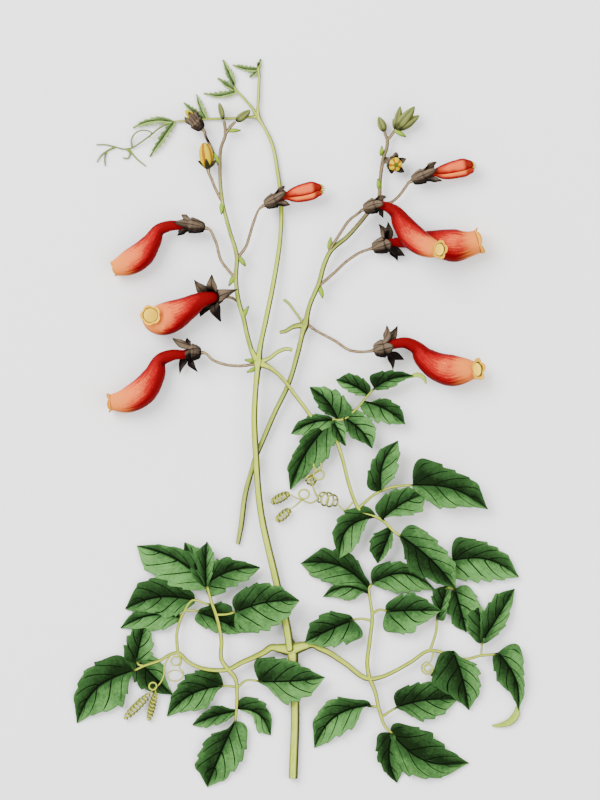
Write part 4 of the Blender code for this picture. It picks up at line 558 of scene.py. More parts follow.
             (73.75, 101.3, 4.3, 0.48), (75.8, 98.7, 4.0, 0.48), (77.6, 96.2, 3.6, 0.48),
             (80.6, 93.2, 3.2, 0.48), (84, 89.8, 3.0, 0.46), (85.4, 86, 2.9, 0.46), (87.2, 79, 3.1, 0.46),
             (88.4, 75.4, 3.3, 0.46), (90, 72.4, 3.4, 0.46), (93.7, 71, 3.5, 0.42), (96, 69.7, 3.6, 0.4),
             (98, 67.6, 3.7, 0.38), (100.6, 65.6, 3.7, 0.34)],
            [(80.4, 93.4, 3.2, 0.42), (82.6, 94.9, 3.6, 0.38), (86.2, 95.3, 3.7, 0.36),
             (88, 96.8, 3.7, 0.34), (90, 98.8, 3.7, 0.32), (92, 101.3, 3.7, 0.3), (93.9, 103.2, 3.7, 0.3)],
            [(89.4, 72.8, 3.4, 0.42), (91.3, 74.6, 3.6, 0.38), (93.8, 76.6, 3.7, 0.36),
             (96.3, 77.8, 3.7, 0.34), (101.2, 78.7, 3.8, 0.32), (103.8, 78.8, 3.9, 0.3)],
            [(96, 69.8, 3.6, 0.34), (95.4, 70.6, 3.9, 0.3)],
        ],
        "blades": [
            ((83.0, 94.9, 3.9), (72.6, 77.6, 0.5), -1.5, (2.6, 3.9, 1.6), (2.0, 4.3, 3.6), 3),
            ((83.0, 95.0, 4.0), (72.8, 91.6, 2.6), -1.0, (1.5, 1.6, 1.3), (1.6, 2.9, 2.3), 2),
            ((83.2, 94.8, 3.9), (86.4, 88.6, 3.3), 0.0, (1.3, 2.1, 0.8), (1.5, 1.8, 1.2), 2),
            ((84.4, 95.2, 3.9), (77.5, 103.2, 3.3), -1.0, (0.4, 1.8, 1.1), (4.6, 4.9, 3.1), 2),
            ((86.0, 95.6, 3.9), (93.0, 88.0, 3.0), 0.9, (3.5, 4.7, 3.7), (0.9, 2.1, 0.8), 2),
            ((91.8, 101.4, 3.9), (84.0, 105.0, 3.2), -0.6, (0.8, 1.4, 1.1), (2.4, 3.3, 2.8), 2),
            ((90.9, 99.7, 3.8), (101.2, 94.0, 3.1), 0.9, (0.5, 3.5, 3.1), (2.3, 3.1, 1.7), 2),
            ((93.6, 103.0, 3.9), (103.4, 106.0, 3.5), 1.0, (3.5, 3.3, 1.9), (0.9, 1.2, 0.3), 2),
            ((95.2, 77.2, 3.9), (99.4, 89.8, 3.0), 1.8, (4.0, 4.7, 3.4), (0.5, 2.1, 1.6), 2),
            ((103.2, 78.8, 4.1), (121.8, 72.8, 3.2), 2.2, (7.2, 6.7, 5.4), (1.6, 3.4, 1.0), 3),
            ((95.6, 70.4, 4.1), (106.3, 76.8, 3.3), 0.8, (4.0, 4.9, 3.5), (0.3, 2.1, 3.4), 2),
            ((94.0, 70.9, 3.7), (84.8, 60.6, 2.9), -3.4, (-1.0, 0.2, 1.1), (4.8, 7.0, 5.4), 2),
            ((97.8, 67.9, 3.8), (94.4, 59.3, 3.0), 0.0, (0.7, 1.7, 1.1), (1.7, 3.9, 3.0), 2),
            ((100.0, 66.2, 3.9), (113.8, 53.0, 3.2), 0.9, (4.5, 5.4, 4.5), (1.2, 4.7, 2.5), 3),
        ],
        "curl": [(102.4, 105.8, 3.6, 0.4), (104.4, 106.3, 3.5, 0.6), (105.8, 105.6, 3.3, 0.55),
                 (106.4, 104.3, 3.0, 0.3)],
        "tendrils": [
            ("thread", [(88.6, 75.0, 3.3), (86.0, 72.6, 3.6), (84.6, 73.9, 3.9), (84.4, 74.6, 4.1)]),
            ("thread", [(79.6, 75.4, 3.6), (79.0, 76.4, 2.8), (78.2, 78.4, 2.6), (77.7, 79.9, 2.5),
                        (77.6, 80.8, 2.5), (79.6, 82.2, 2.5), (80.5, 83.9, 2.4)]),
            ("thread", [(79.6, 75.2, 3.4), (77.6, 74.3, 2.6), (75.6, 75.0, 2.3), (74.4, 75.4, 2.1),
                        (72.2, 76.6, 2.0)]),
            ("thread", [(75.4, 75.0, 2.3), (73.6, 73.4, 2.1), (72.5, 72.7, 2.0)]),
            ("coil", (84.4, 74.6, 4.1), (79.4, 75.8, 3.6), 1.75, 4),
            ("coil", (72.3, 76.7, 1.7), (67.9, 74.4, 1.3), 1.0, 6),
            ("coil", (72.5, 72.7, 1.7), (69.2, 69.8, 1.3), 1.0, 5),
            ("loop", (79.7, 81.3, 2.6), (1.3, 1.2), (1.3, 1.2), 1.15, 0.0, 0.5, 16),
            ("loop", (76.0, 76.5, 2.4), (1.3, 1.15), (1.3, 1.15), 1.15, 0.0, 0.5, 16),
            ("loop", (79.4, 83.6, 2.6), (1.0, 0.95), (1.0, 0.95), 1.1, 0.0, 0.5, 16),
            ("coil", (78.6, 79.2, 2.4), (76.8, 80.8, 2.4), 1.2, 3),
        ],
    },
    "young_leaf_top": {
        "stalks": [
            [(63.1, 172.8, 1.0, 0.34), (61.8, 174.4, 1.0, 0.32), (60.2, 176.2, 0.95, 0.3),
             (58.9, 177.5, 0.9, 0.28), (58.3, 179.4, 0.9, 0.26)],
        ],
        "blades": [
            ((58.5, 179.0, 0.9), (55.8, 185.0, 0.5), 0.0, (0.6, 0.8, 0.5), (0.6, 0.9, 0.5), 1),
            ((59.2, 177.2, 0.9), (54.5, 180.4, 0.5), 0.3, (0.5, 0.8, 0.5), (0.5, 0.8, 0.5), 1),
            ((59.2, 177.2, 0.9), (51.0, 176.6, 0.5), 0.9, (0.9, 1.5, 1.0), (0.3, 0.2, 0.0), 1),
        ],
    },
    "young_leaf_side": {
        "stalks": [
            [(62.05, 170.6, 1.0, 0.34), (60, 170.45, 0.85, 0.32), (55.5, 170.3, 0.75, 0.3),
             (51.5, 170.2, 0.7, 0.3), (45.75, 169.75, 0.7, 0.28), (42.5, 169.4, 0.7, 0.26)],
        ],
        "blades": [
            ((51.6, 170.1, 0.8), (49.2, 176.3, 0.5), 0.3, (0.5, 0.8, 0.5), (0.5, 0.7, 0.5), 1),
            ((51.2, 170.0, 0.8), (46.0, 174.3, 0.5), 0.3, (0.5, 0.9, 0.6), (0.5, 0.7, 0.4), 1),
            ((43.2, 169.5, 0.8), (33.3, 168.0, 0.5), -1.0, (0.2, 0.0, 0.0), (1.0, 1.8, 1.3), 1),
            ((43.6, 169.6, 0.8), (37.5, 160.8, 0.5), 0.0, (0.7, 0.9, 0.6), (0.6, 0.9, 0.6), 1),
        ],
        "tendrils": [
            ("thread", [(42.7, 169.4, 0.7), (40, 168, 1.3), (37.5, 166, 1.3), (35, 164.2, 0.9),
                        (33, 163, 0.6), (31.2, 162.7, 0.5), (28.7, 163.3, 0.4), (26.4, 163.8, 0.4),
                        (24.2, 163.8, 0.4)]),
            ("thread", [(33, 163, 0.6), (32.9, 165, 0.9), (34.3, 166.9, 1.9), (36.3, 167.3, 2.3),
                        (37.9, 166.7, 2.3), (37.5, 165.6, 2.2)]),
            ("thread", [(28.8, 163.2, 0.4), (26.9, 162.3, 0.4), (25.4, 161.2, 0.4), (24.3, 159.5, 0.4)]),
            ("thread", [(26.7, 162.2, 0.4), (26.2, 160.2, 0.4), (26.3, 158.6, 0.4)]),
            ("thread", [(31.6, 162.8, 0.5), (32.5, 161.6, 0.4), (32.0, 160.4, 0.4), (30.8, 160.5, 0.4)]),
            ("thread", [(32.1, 162.8, 0.5), (34.2, 160.3, 0.4), (36.4, 158.5, 0.3)]),
        ],
    },
    "shoot_tip": {
        "stalks": [[(64.75, 181.4, 0.9, 0.34), (64.6, 182.6, 0.9, 0.4), (64.5, 184.3, 0.8, 0.22)]],
        "blades": [
            ((64.8, 182.4, 0.9), (62.4, 180.6, 0.5), 0.0, (0.4, 0.5, 0.3), (0.4, 0.5, 0.3), 1),
            ((64.8, 182.6, 0.9), (58.2, 183.7, 0.5), 0.5, (0.6, 1.1, 0.7), (0.3, 0.4, 0.3), 1),
            ((64.5, 182.4, 0.9), (65.2, 185.2, 0.5), 0.0, (0.4, 0.5, 0.3), (0.4, 0.5, 0.3), 1),
        ],
    },
}


class Socket:
    """A shader value in a Python expression: each operator adds the Math node that works it out."""

    def __init__(self, paint, link):
        self.paint = paint
        self.link = link

    def math(self, operation, *values):
        return self.paint.node("ShaderNodeMath", dict(enumerate(values)), operation=operation)

    def __add__(self, other):
        return self.math("ADD", self, other)

    def __sub__(self, other):
        return self.math("SUBTRACT", self, other)

    def __rsub__(self, other):
        return self.math("SUBTRACT", other, self)

    def __mul__(self, other):
        return self.math("MULTIPLY", self, other)

    def __abs__(self):
        return self.math("ABSOLUTE", self)

    __radd__ = __add__

    def most(self, *others):
        """The greatest of this value and the others."""
        found = self
        for other in others:
            found = self.math("MAXIMUM", found, other)
        return found

    def clamped(self):
        return self.math("MINIMUM", self, 1.0).most(0.0)

    def step(self, low, high):
        """0 at low, 1 at high and a soft step between; low may be above high."""
        inputs = {"Value": self, "From Min": low, "From Max": high, "To Min": 0.0, "To Max": 1.0}
        return self.paint.node("ShaderNodeMapRange", inputs, interpolation_type="SMOOTHSTEP")

    def from_whole(self):
        """How far the value lies from the nearest whole number."""
        return abs(self - self.math("ROUND", self))


class Paint:
    """A material for one finish, made from the piece's own attributes and Object coordinates."""

    def __init__(self, name, roughness, shine=0.06, glow=0.0):
        self.material = bpy.data.materials.new(name)
        self.material.use_nodes = True
        self.tree = self.material.node_tree
        self.shader = self.tree.nodes["Principled BSDF"]
        self.shader.inputs["Roughness"].default_value = roughness
        self.shader.inputs["Specular IOR Level"].default_value = shine
        self.shader.inputs["Emission Strength"].default_value = glow
        self.place = self.node("ShaderNodeTexCoord", {}, "Object")

    def node(self, kind, inputs, output=0, stops=(), **settings):
        """A node of any kind: its settings are set first, then its sockets' values or links."""
        made = self.tree.nodes.new(kind)
        for name, value in settings.items():
            setattr(made, name, value)
        if stops:
            while len(made.color_ramp.elements) < len(stops):
                made.color_ramp.elements.new(1.0)
            for element, (place, colour) in zip(made.color_ramp.elements, stops):
                element.position = place
                element.color = (*colour, 1.0)
        for key, value in inputs.items():
            if isinstance(value, Socket):
                self.tree.links.new(value.link, made.inputs[key])
            elif isinstance(value, tuple) and made.inputs[key].type == "RGBA":
                made.inputs[key].default_value = (*value, 1.0)
            else:
                made.inputs[key].default_value = value
        return Socket(self, made.outputs[output])

    def value(self, name):
        """One of the named values that the piece's points carry."""
        return self.node("ShaderNodeAttribute", {}, "Fac", attribute_name=name)

    def values(self, *names):
        return [self.value(name) for name in names]

    def noise(self, scale, detail=3.0, place=None):
        inputs = {"Vector": place or self.place, "Scale": scale, "Detail": detail}
        return self.node("ShaderNodeTexNoise", inputs, "Fac")

    def grain(self, *noise):
        """Noise that strays to both sides of 0."""
        return self.noise(*noise) - 0.5

    def mix(self, factor, one, other):
        """One colour turned into the other by a factor from 0 to 1."""
        return self.node("ShaderNodeMix", {0: factor, 6: one, 7: other}, 2, data_type="RGBA")

    def ramp(self, value, *stops):
        return self.node("ShaderNodeValToRGB", {"Fac": value}, stops=stops)

    def vector(self, x, y, z):
        return self.node("ShaderNodeCombineXYZ", {"X": x, "Y": y, "Z": z})

    def finish(self, colour, height, depth, roughness=None, glow=None):
        """Feeds the shader, with bumps that are depth millimetres deep, and returns the material."""
        inputs = {"Height": height, "Strength": 0.6, "Distance": depth * MM}
        fed = {"Base Color": colour, "Normal": self.node("ShaderNodeBump", inputs, "Normal")}
        fed.update({"Roughness": roughness} if roughness else {})
        fed.update({"Emission Color": glow} if glow else {})
        for key, value in fed.items():
            self.tree.links.new(value.link, self.shader.inputs[key])
        return self.material


def tint(red, green, blue):
    """The base colour that shows in this light as the given screen colour, from 0 to 255.

    The view's tone curve dulls bright colours, so they are given more saturation and more light.
    """
    linear = [c / 255 / 12.92 if c <= 10 else ((c / 255 + 0.055) / 1.055) ** 2.4 for c in (red, green, blue)]
    grey = sum(part * share for part, share in zip(linear, GREY_SHARES))
    found = []
    for part in linear:
        fuller = max(grey + (part - grey) * (TONE_SATURATION + TONE_MORE * grey), LEAST_COLOUR)
        lit = TONE_GAIN * fuller**TONE_POWER * (1 + TONE_LIFT * fuller**2)
        found.append(min(lit / STUDIO_LEVEL, MOST_COLOUR))
    return tuple(found)


def leaf_paint(name, light, middle, dark, vein, fineness=1.0):
    """Leaf upper side: painted light and shade on its two halves, sunk dark veins with finer ones between, a
    dark rim.
    """
    paint = Paint(name, 0.5, shine=0.02)
    along, phase, pitch, reach, shade = paint.values("along", "phase", "pitch", "reach", "shade")
    mottle, grain = paint.grain(260.0), paint.grain(1500.0, 2.0)
    hatch = paint.grain(9.0, 1.0, paint.vector(phase * 3.2, reach * 0.25, pitch))
    # Painted shade of each half and of the base, with each blade's own tone, under mottling and fine hatching
    shade = shade + mottle * 0.6 + hatch * 0.35 + grain * 0.4
    colour = paint.ramp(shade, (0.0, light), (0.42, middle), (0.95, dark))
    wide, thin = 0.34 * fineness, 0.12 * fineness
    rib = abs(paint.value("from_rib")).step(wide, thin) * along.step(1.3, 0.6)
    near = phase.from_whole() * pitch
    side_vein = near.step(wide - 0.02 * fineness, thin) * reach.step(0.97, 0.75) * along.step(0.02, 0.1)
    fine = (phase * 9.0 + paint.noise(700.0) * 1.2).from_whole().step(0.16, 0.0) * 0.3
    lines = rib.most(side_vein).clamped().most(reach.step(0.93, 1.0) * 0.5, fine)
    height = grain * 0.4 + mottle * 0.5 - lines * 1.2
    return paint.finish(paint.mix(lines, colour, vein), height, 0.12, 0.46 + mottle * 0.3 + lines * 0.1)


def leaf_back_paint(name, pale, green):
    """Leaf underside: paler and matt, with raised pale veins."""
    paint = Paint(name, 0.65)
    near = paint.value("phase").from_whole() * paint.value("pitch")
    lines = abs(paint.value("from_rib")).step(0.3, 0.1).most(near.step(0.22, 0.06) * 0.8)
    colour = paint.mix(paint.noise(400.0).step(0.3, 0.8), green, pale)
    return paint.finish(paint.mix(lines * 0.6, colour, pale), lines + paint.noise(1500.0) * 0.3, 0.1)


def stalk_paint(
    name, lit, body, dark, streak=0.5, roughness=0.5, end=None, far=None, groove_shade=0.0, edge_shade_width=0.62,
):
    """A stem: painted light where the drawn light falls, painted shade along both edges, with long fine
    streaks.

    end is the colour it takes over its last millimetre, far the one it turns to over its far third,
    and the last two how strong the painted shade of a groove along its top is and how wide the painted shade
    along its edges is.
    """
    paint = Paint(name, roughness)
    along, facing, upward = paint.values("along", "facing", "upward")
    mottle = paint.grain(350.0)
    streaks = paint.grain(6.0, 2.0, paint.vector(facing * 1.4, along * 3.0, 0.0))
    # Painted light and shade: pale where a point faces the drawn light, dark where it faces away
    tone = facing + streaks * streak + mottle * 0.35
    colour = paint.ramp(tone, (0.0, dark), (0.22, body), (0.62, lit), (0.92, body))
    if far:
        colour = paint.mix(along.step(0.66, 0.8) * facing.step(0.0, 0.5), colour, far)
    # Painted shade along both edges, where the surface turns away from straight up, more on the side away
    # from the drawn light
    edge = upward.step(edge_shade_width + 0.28, edge_shade_width) * (1.0 - facing * 0.3)
    colour = paint.mix(edge.clamped() * 0.9, colour, dark)
    # A painted shade line along the top, where a groove would lie in shade
    if groove_shade:
        colour = paint.mix(upward.step(0.97, 0.995) * groove_shade, colour, dark)
    if end:
        colour = paint.mix(paint.value("from_end").step(1.7, 0.5), colour, end)
    return paint.finish(colour, mottle + streaks, 0.06, roughness + mottle * 0.3)


def petal_paint():
    """Corolla outside: deep red neck, painted shade in deeper red on its edges and in its folds, a painted
    peach highlight over the swollen top, peach toward the mouth and a painted shade line round it.
    """
    paint = Paint("corolla outside", 0.5, shine=0.01)
    along, flare, blush, facing, upward = paint.values("along", "flare", "blush", "facing", "upward")
    lie = paint.vector(paint.value("round_x") * 3.0, paint.value("round_y") * 3.0, along * 1.5)
    streaks, grain = paint.grain(4.0, 4.0, lie), paint.grain(1600.0, 2.0)
    # Painted highlight: peach where the surface faces the drawn light and up, red where it turns away
    lit = facing * 0.7 + upward * 0.3
    peach = (blush - 0.5) * 2.1 + (lit - 0.64) * 1.6 + streaks * 0.9 + grain * 0.4
    colour = paint.ramp(
        peach, (0.0, tint(168, 0, 12)), (0.3, tint(202, 10, 24)), (0.5, tint(210, 58, 46)),
        (0.72, tint(228, 130, 88)), (1.0, tint(238, 172, 118)),
    )
    # Painted shade along the edges that turn away from up and from the drawn light
    edge = upward.step(0.62, 0.2) * along.step(1.0, 0.85) * facing.step(0.62, 0.3)
    # A painted shade line round the mouth, and a darker rim on the lobes
    line = flare.step(0.0, 0.08) * flare.step(0.3, 0.14) + flare.step(0.9, 1.0) * 0.5
    # Painted shade on the edges and in the folds of bends, then the paler mouth and lobes, then the painted
    # shade line round the mouth
    for amount, other in (
        (edge * 0.7, tint(142, 0, 10)),
        (paint.value("fold").step(0.1, 0.34) * 0.85, tint(104, 0, 4)),
        ((along + streaks * 0.2).step(0.78, 1.0) * 0.8, tint(238, 190, 126)),
        (flare.step(0.1, 0.4) * 0.8, tint(242, 212, 134)),
        (line.clamped() * 0.8, tint(150, 96, 34)),
    ):
        colour = paint.mix(amount, colour, other)
    return paint.finish(colour, streaks + grain * 0.5, 0.08, 0.36 + streaks * 0.2)


def shut_petal_paint(name, edge, body, middle):
    """An unopened corolla: painted shade in one colour along its edges, which its foot and end take too, and
    a painted highlight in another over its middle, with fine mottling.
    """
    paint = Paint(name, 0.5, shine=0.01)
    along, facing, upward = paint.values("along", "facing", "upward")
    mottle = paint.grain(600.0)
    # Painted light and shade: the middle that faces up and toward the drawn light is lit, the edges are
    # shaded
    lit = facing * 0.3 + upward * 0.7 + mottle * 0.3 + (along - 0.6) * 0.3
    colour = paint.ramp(lit, (0.52, edge), (0.72, body), (0.92, middle))
    for place in ((0.84, 0.93), (0.55, 0.35)):
        colour = paint.mix(along.step(*place) * 0.9, colour, edge)
    return paint.finish(colour, mottle, 0.08)


def throat_paint():
    """Corolla inside: pale cream-yellow with painted shade deeper down the throat, a painted glow that lights
    it from within and a brown painted shade line round the mouth.
    """
    paint = Paint("corolla throat", 0.5, glow=THROAT_PAINTED_GLOW)
    along, flare = paint.values("along", "flare")
    grain = paint.grain(900.0)
    # Painted shade: darker deeper down the throat
    colour = paint.ramp(
        along + grain * 0.1,
        (0.5, tint(176, 130, 50)), (0.8, tint(214, 200, 110)), (1.0, tint(236, 224, 150)),
    )
    # The brown painted shade line round the mouth
    line = flare.step(0.02, 0.14) * flare.step(0.46, 0.34)
    # A painted glow that lights the inside of the throat, from part way down to the mouth
    deep = paint.mix(along.step(0.4, 0.75) * flare.step(0.1, 0.0), (0.0, 0.0, 0.0), colour)
    colour = paint.mix(flare.step(0.3, 0.5), colour, tint(246, 222, 138))
    colour = paint.mix(line * 0.9, colour, tint(104, 66, 14))
    colour = paint.mix(flare.step(0.9, 1.0) * 0.5, colour, tint(170, 116, 60))
    return paint.finish(colour, grain, 0.08, glow=deep)


def sepal_paint(name, lit, body, dark, side=1.0):
    """Sepals: downy grey-brown with a dark midline and edges, nearly black on the shaded side.

    side is -1 for their inner faces, whose facing values are those of the faces behind them.
    """
    paint = Paint(name, 0.7)
    across, along, facing, low = paint.values("across", "along", "facing", "low")
    down, mottle = paint.grain(2200.0, 2.0), paint.grain(500.0)
    tone = facing * side + mottle * 0.5 + down * 0.35 - low * 0.58
    colour = paint.ramp(tone, (0.16, dark), (0.48, body), (0.88, lit))
    midline = abs(across).step(0.16, 0.04) * along.step(0.3, 0.45) * 0.8
    lines = midline.most(abs(across).step(0.78, 0.98) * 0.9, along.step(0.84, 1.0) * 0.95)
    return paint.finish(paint.mix(lines, colour, dark), down + mottle, 0.1)


def bud_paint(name, low, body, stripe, strength):
    """A small bud: ribs of one colour with stripes between, darker at its foot and on its shaded side."""
    paint = Paint(name, 0.5)
    along, rib, facing = paint.values("along", "rib", "facing")
    mottle = paint.grain(700.0)
    colour = paint.mix((rib + mottle * 0.8).step(0.1, -0.75) * strength, body, stripe)
    colour = paint.mix((along + mottle * 0.3).step(0.34, 0.02), colour, low)
    colour = paint.mix((facing + mottle * 0.4).step(0.25, -0.25) * 0.75, colour, low)
    return paint.finish(colour, mottle + rib * 0.4, 0.1)


def star_paint():
    """A bud seen from its open end: yellow with orange strokes round a green middle."""
    paint = Paint("star bud", 0.5)
    along, rib = paint.values("along", "rib")
    mottle = paint.grain(700.0)
    strokes = (rib + mottle * 0.7).step(0.2, -0.7) * along.step(0.55, 0.7)
    colour = paint.mix(strokes * 0.9, tint(228, 218, 108), tint(196, 112, 24))
    colour = paint.mix((along + mottle * 0.02).step(0.975, 0.99), colour, tint(110, 140, 54))
    ring = along.step(0.95, 0.97) * along.step(0.99, 0.98)
    colour = paint.mix(ring * 0.7, colour, tint(96, 72, 20))
    colour = paint.mix(along.step(0.4, 0.2), colour, tint(84, 70, 26))
    return paint.finish(colour, mottle + rib * 0.4, 0.1)


def scale_paint():
    """A small leafy scale: yellow-green, painted paler where it faces the drawn light, with darker edges and
    tip.
    """
    paint = Paint("scale", 0.6)
    across, along, facing = paint.values("across", "along", "facing")
    # Painted light and shade: paler where the scale faces the drawn light
    colour = paint.mix(facing.step(0.1, 0.7), tint(126, 148, 62), tint(186, 206, 116))
    rim = abs(across).step(0.55, 0.95).most(along.step(0.75, 1.0))
    return paint.finish(paint.mix(rim * 0.8, colour, tint(62, 76, 26)), paint.grain(800.0), 0.05)


def plain_paint(name, body, other):
    """A small even finish, mottled between two near colours."""
    paint = Paint(name, 0.6)
    mottle = paint.noise(800.0)
    return paint.finish(paint.mix(mottle.step(0.3, 0.75), body, other), mottle, 0.05)


def placed(point):
    """A point of the sheet, in metres round the middle of the shoot."""
    return (Vector(point[:3]) - SHEET_MIDDLE) * MM


def smoothly(low, high, value):
    """0 below low, 1 above high and a soft step between."""
    part = min(max((value - low) / (high - low), 0.0), 1.0)
    return part * part * (3 - 2 * part)


def circled(right, up, angle):
    """The direction at an angle from right toward up."""
    return right * math.cos(angle) + up * math.sin(angle)


def axes_of(base, tip):
    """The direction from base to tip, with one to its right and one above."""
    along = (tip - base).normalized()
    right = along.cross(UP).normalized()
    return along, right, right.cross(along)


def curve_between(start, end, start_slope, end_slope, part):
    """A cubic from start to end that leaves and arrives with the two slopes."""
    square, cube = part * part, part**3
    bent = start_slope * (cube - 2 * square + part) + end_slope * (cube - square)
    return start * (2 * cube - 3 * square + 1) + end * (3 * square - 2 * cube) + bent


def smooth_path(path, step):
    """The (x, y, z, radius) points joined by a smooth line, with a point each step or less."""
    knots = [Vector(point) for point in path]
    gaps = [max((b.xyz - a.xyz).length, WELD) for a, b in zip(knots, knots[1:])]
    slopes = [(b - a) / gap for a, b, gap in zip(knots, knots[1:], gaps)]
    bends = [slopes[0]]
    for k, (low, high) in enumerate(zip(slopes, slopes[1:])):
        bends.append((low * gaps[k + 1] + high * gaps[k]) / (gaps[k] + gaps[k + 1]))
    bends.append(slopes[-1])
    found = []
    for k, gap in enumerate(gaps):
        ends = (knots[k], knots[k + 1], bends[k] * gap, bends[k + 1] * gap)
        count = max(1, math.ceil(gap / step))
        found += [curve_between(*ends, j / count) for j in range(count)]
    return [*found, knots[-1]]


def frames_along(path):
    """(centre, right, up, along, radius) at each point of a path, turning no more than the path does."""
    right = None
    found = []
    for k, point in enumerate(path):
        before, after = path[max(k - 1, 0)].xyz, path[min(k + 1, len(path) - 1)].xyz
        along = (after - before).normalized()
        if right is None:
            right = along.cross(UP).normalized()
        right = (right - along * right.dot(along)).normalized()
        found.append((point.xyz, right, right.cross(along), along, point.w))
    return found


def select_only(*pieces):
    bpy.ops.object.select_all(action="DESELECT")
    for piece in pieces:
        piece.select_set(True)
    bpy.context.view_layer.objects.active = pieces[0]


def edited(piece, *steps):
    """Runs mesh operators on the whole piece."""
    select_only(piece)
    bpy.ops.object.mode_set(mode="EDIT")
    bpy.ops.mesh.select_all(action="SELECT")
    for step in steps:
        step()
    bpy.ops.object.mode_set(mode="OBJECT")


def note(piece, key, values):
    """Stores a value for each point, which the materials read as an attribute."""
    piece.data.attributes.new(key, "FLOAT", "POINT").data.foreach_set("value", values)


def note_facing(piece):
    """Stores how far each point faces the drawn light, and how far it faces up."""
    normals = [normal.vector.copy() for normal in piece.data.vertex_normals]
    for key, direction in (("facing", DRAWN_LIGHT), ("upward", UP)):
        note(piece, key, [normal.dot(direction) for normal in normals])


def shaped_grid(name, across, along, shape, *paints):
    """A grid primitive whose point at (u, v), both from 0 to 1, moves to the point that shape(u, v) gives.

    shape also gives the named values of that point. Seams and poles are closed and faces turned outward.
    """
    bpy.ops.object.select_all(action="DESELECT")
    bpy.ops.mesh.primitive_grid_add(x_subdivisions=across, y_subdivisions=along, size=1)
    piece = bpy.context.object
    piece.name = name
    vertices = piece.data.vertices
    made = [shape(vertex.co.x + 0.5, vertex.co.y + 0.5) for vertex in vertices]
    for vertex, ((x, y, z), _) in zip(vertices, made):
        vertex.co = placed((x, y, max(z, LEAST_HEIGHT)))
    for key in made[0][1]:
        note(piece, key, [values[key] for _, values in made])
    for paint in paints:
        piece.data.materials.append(paint)
    edited(
        piece,
        lambda: bpy.ops.mesh.remove_doubles(threshold=WELD),
        lambda: bpy.ops.mesh.normals_make_consistent(inside=False),
    )
    return piece


def solid_grid(*grid):
    """A closed surface, from what shaped_grid() takes."""
    piece = shaped_grid(*grid)
    note_facing(piece)
    return piece


def walled_grid(wall, offset, inner, *grid):
    """An open surface with a wall, from what shaped_grid() takes; a second paint is its new side's.

    It faces away from the nearest of the inner points, or up where there are none.
    """
    piece = shaped_grid(*grid)
    total = 0.0
    for face in piece.data.polygons:
        if inner:
            middle = min(inner, key=lambda point: (face.center - point).length)
            total += face.normal.dot((face.center - middle).normalized()) * face.area
        else:
            total += face.normal.z
    if total < 0:
        edited(piece, bpy.ops.mesh.flip_normals)
    note_facing(piece)
    select_only(piece)
    thick = piece.modifiers.new("Wall", "SOLIDIFY")
    thick.thickness = wall * MM
    thick.offset = offset
    thick.material_offset = len(piece.data.materials) - 1
    bpy.ops.object.modifier_apply(modifier=thick.name)
    return piece


def finished(pieces, name, slot, *nodes):
    """Joins the pieces to one, which rides on the root and stands for the CAD nodes."""
    select_only(*pieces)
    if len(pieces) > 1:
        bpy.ops.object.join()
    piece = pieces[0]
    piece.name = piece.data.name = name
    bpy.ops.object.shade_smooth_by_angle(angle=math.radians(SMOOTH_ANGLE))
    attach(piece, "root")
    if nodes:
        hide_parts(*nodes)


def tube(path, paint, step=0.7, sides=14, ends=(0.5, 0.5), flat=1.0, ridges=0.0):
    """A smooth stalk along a path, with rounded ends that stand out by parts of the radius."""
    frames = frames_along(smooth_path(path, step))
    rows = [(frames[0], -ends[0] * (1 - part), width) for part, width in ROUND_END]
    rows += [(frame, 0.0, 1.0) for frame in frames]
    rows += [(frames[-1], ends[1] * (1 - part), width) for part, width in reversed(ROUND_END)]
    last = len(frames) - 1
    left = [0.0]
    for (before, *_), (after, *_) in zip(frames[::-1], frames[-2::-1]):
        left.append(left[-1] + (after - before).length)

    def shape(u, v):
        row = round(v * (len(rows) - 1))
        (centre, right, up, along, radius), ahead, width = rows[row]
        angle = math.tau * u
        wide = radius * width * (1 + ridges * math.cos(RIDGE_COUNT * angle))
        nearest = min(max(row - len(ROUND_END), 0), last)
        spot = centre + along * (ahead * radius) + circled(right, up * flat, angle) * wide
        return spot, {"along": nearest / last, "from_end": left[last - nearest]}

    return solid_grid("tube", sides, len(rows) - 1, shape, paint)


def thread(path, paint):
    """A thin round tendril, which narrows toward its free end."""
    last = max(len(path) - 1, 1)
    points = [(*p, TENDRIL_RADIUS * (1 - THREAD_TAPER * k / last)) for k, p in enumerate(path)]
    return tube(points, paint, step=0.35, sides=8, ends=(0.5, 1.0))


def coil(start, end, radius, turns, paint):
    """A coiled tendril round the line from start to end."""
    start, end = Vector(start), Vector(end)
    along, side, up = axes_of(start, end)
    lean = up * math.sqrt(1 - COIL_LEAN**2) + along * COIL_LEAN
    path = []
    steps = turns * COIL_STEPS
    for k in range(steps + 1):
        part = k / steps
        swell = radius * math.sin(math.pi * part) ** COIL_ROUNDNESS
        spot = start.lerp(end, part) + swell * circled(side, lean, math.tau * turns * part)
        path.append((spot.x, spot.y, max(spot.z, TENDRIL_RADIUS), TENDRIL_RADIUS))
    return tube(path, paint, step=9.0, sides=7, ends=(0.5, 1.0))


def loop(middle, first, last, turns, start, rise, steps, paint):
    """A tendril wound flat, from its first (x, y) radii to its last ones, which rises as it turns."""
    path = []
    for k in range(steps + 1):
        part = k / steps
        wide, high = Vector(first).lerp(Vector(last), part)
        turn = circled(Vector((wide, 0, 0)), Vector((0, high, 0)), start + math.tau * turns * part)
        path.append((*(Vector(middle) + turn + UP * (rise * part)), TENDRIL_RADIUS))
    return tube(path, paint, step=0.3, sides=8, ends=(1.0, 1.0))


TENDRIL_KINDS = {"thread": thread, "coil": coil, "loop": loop}


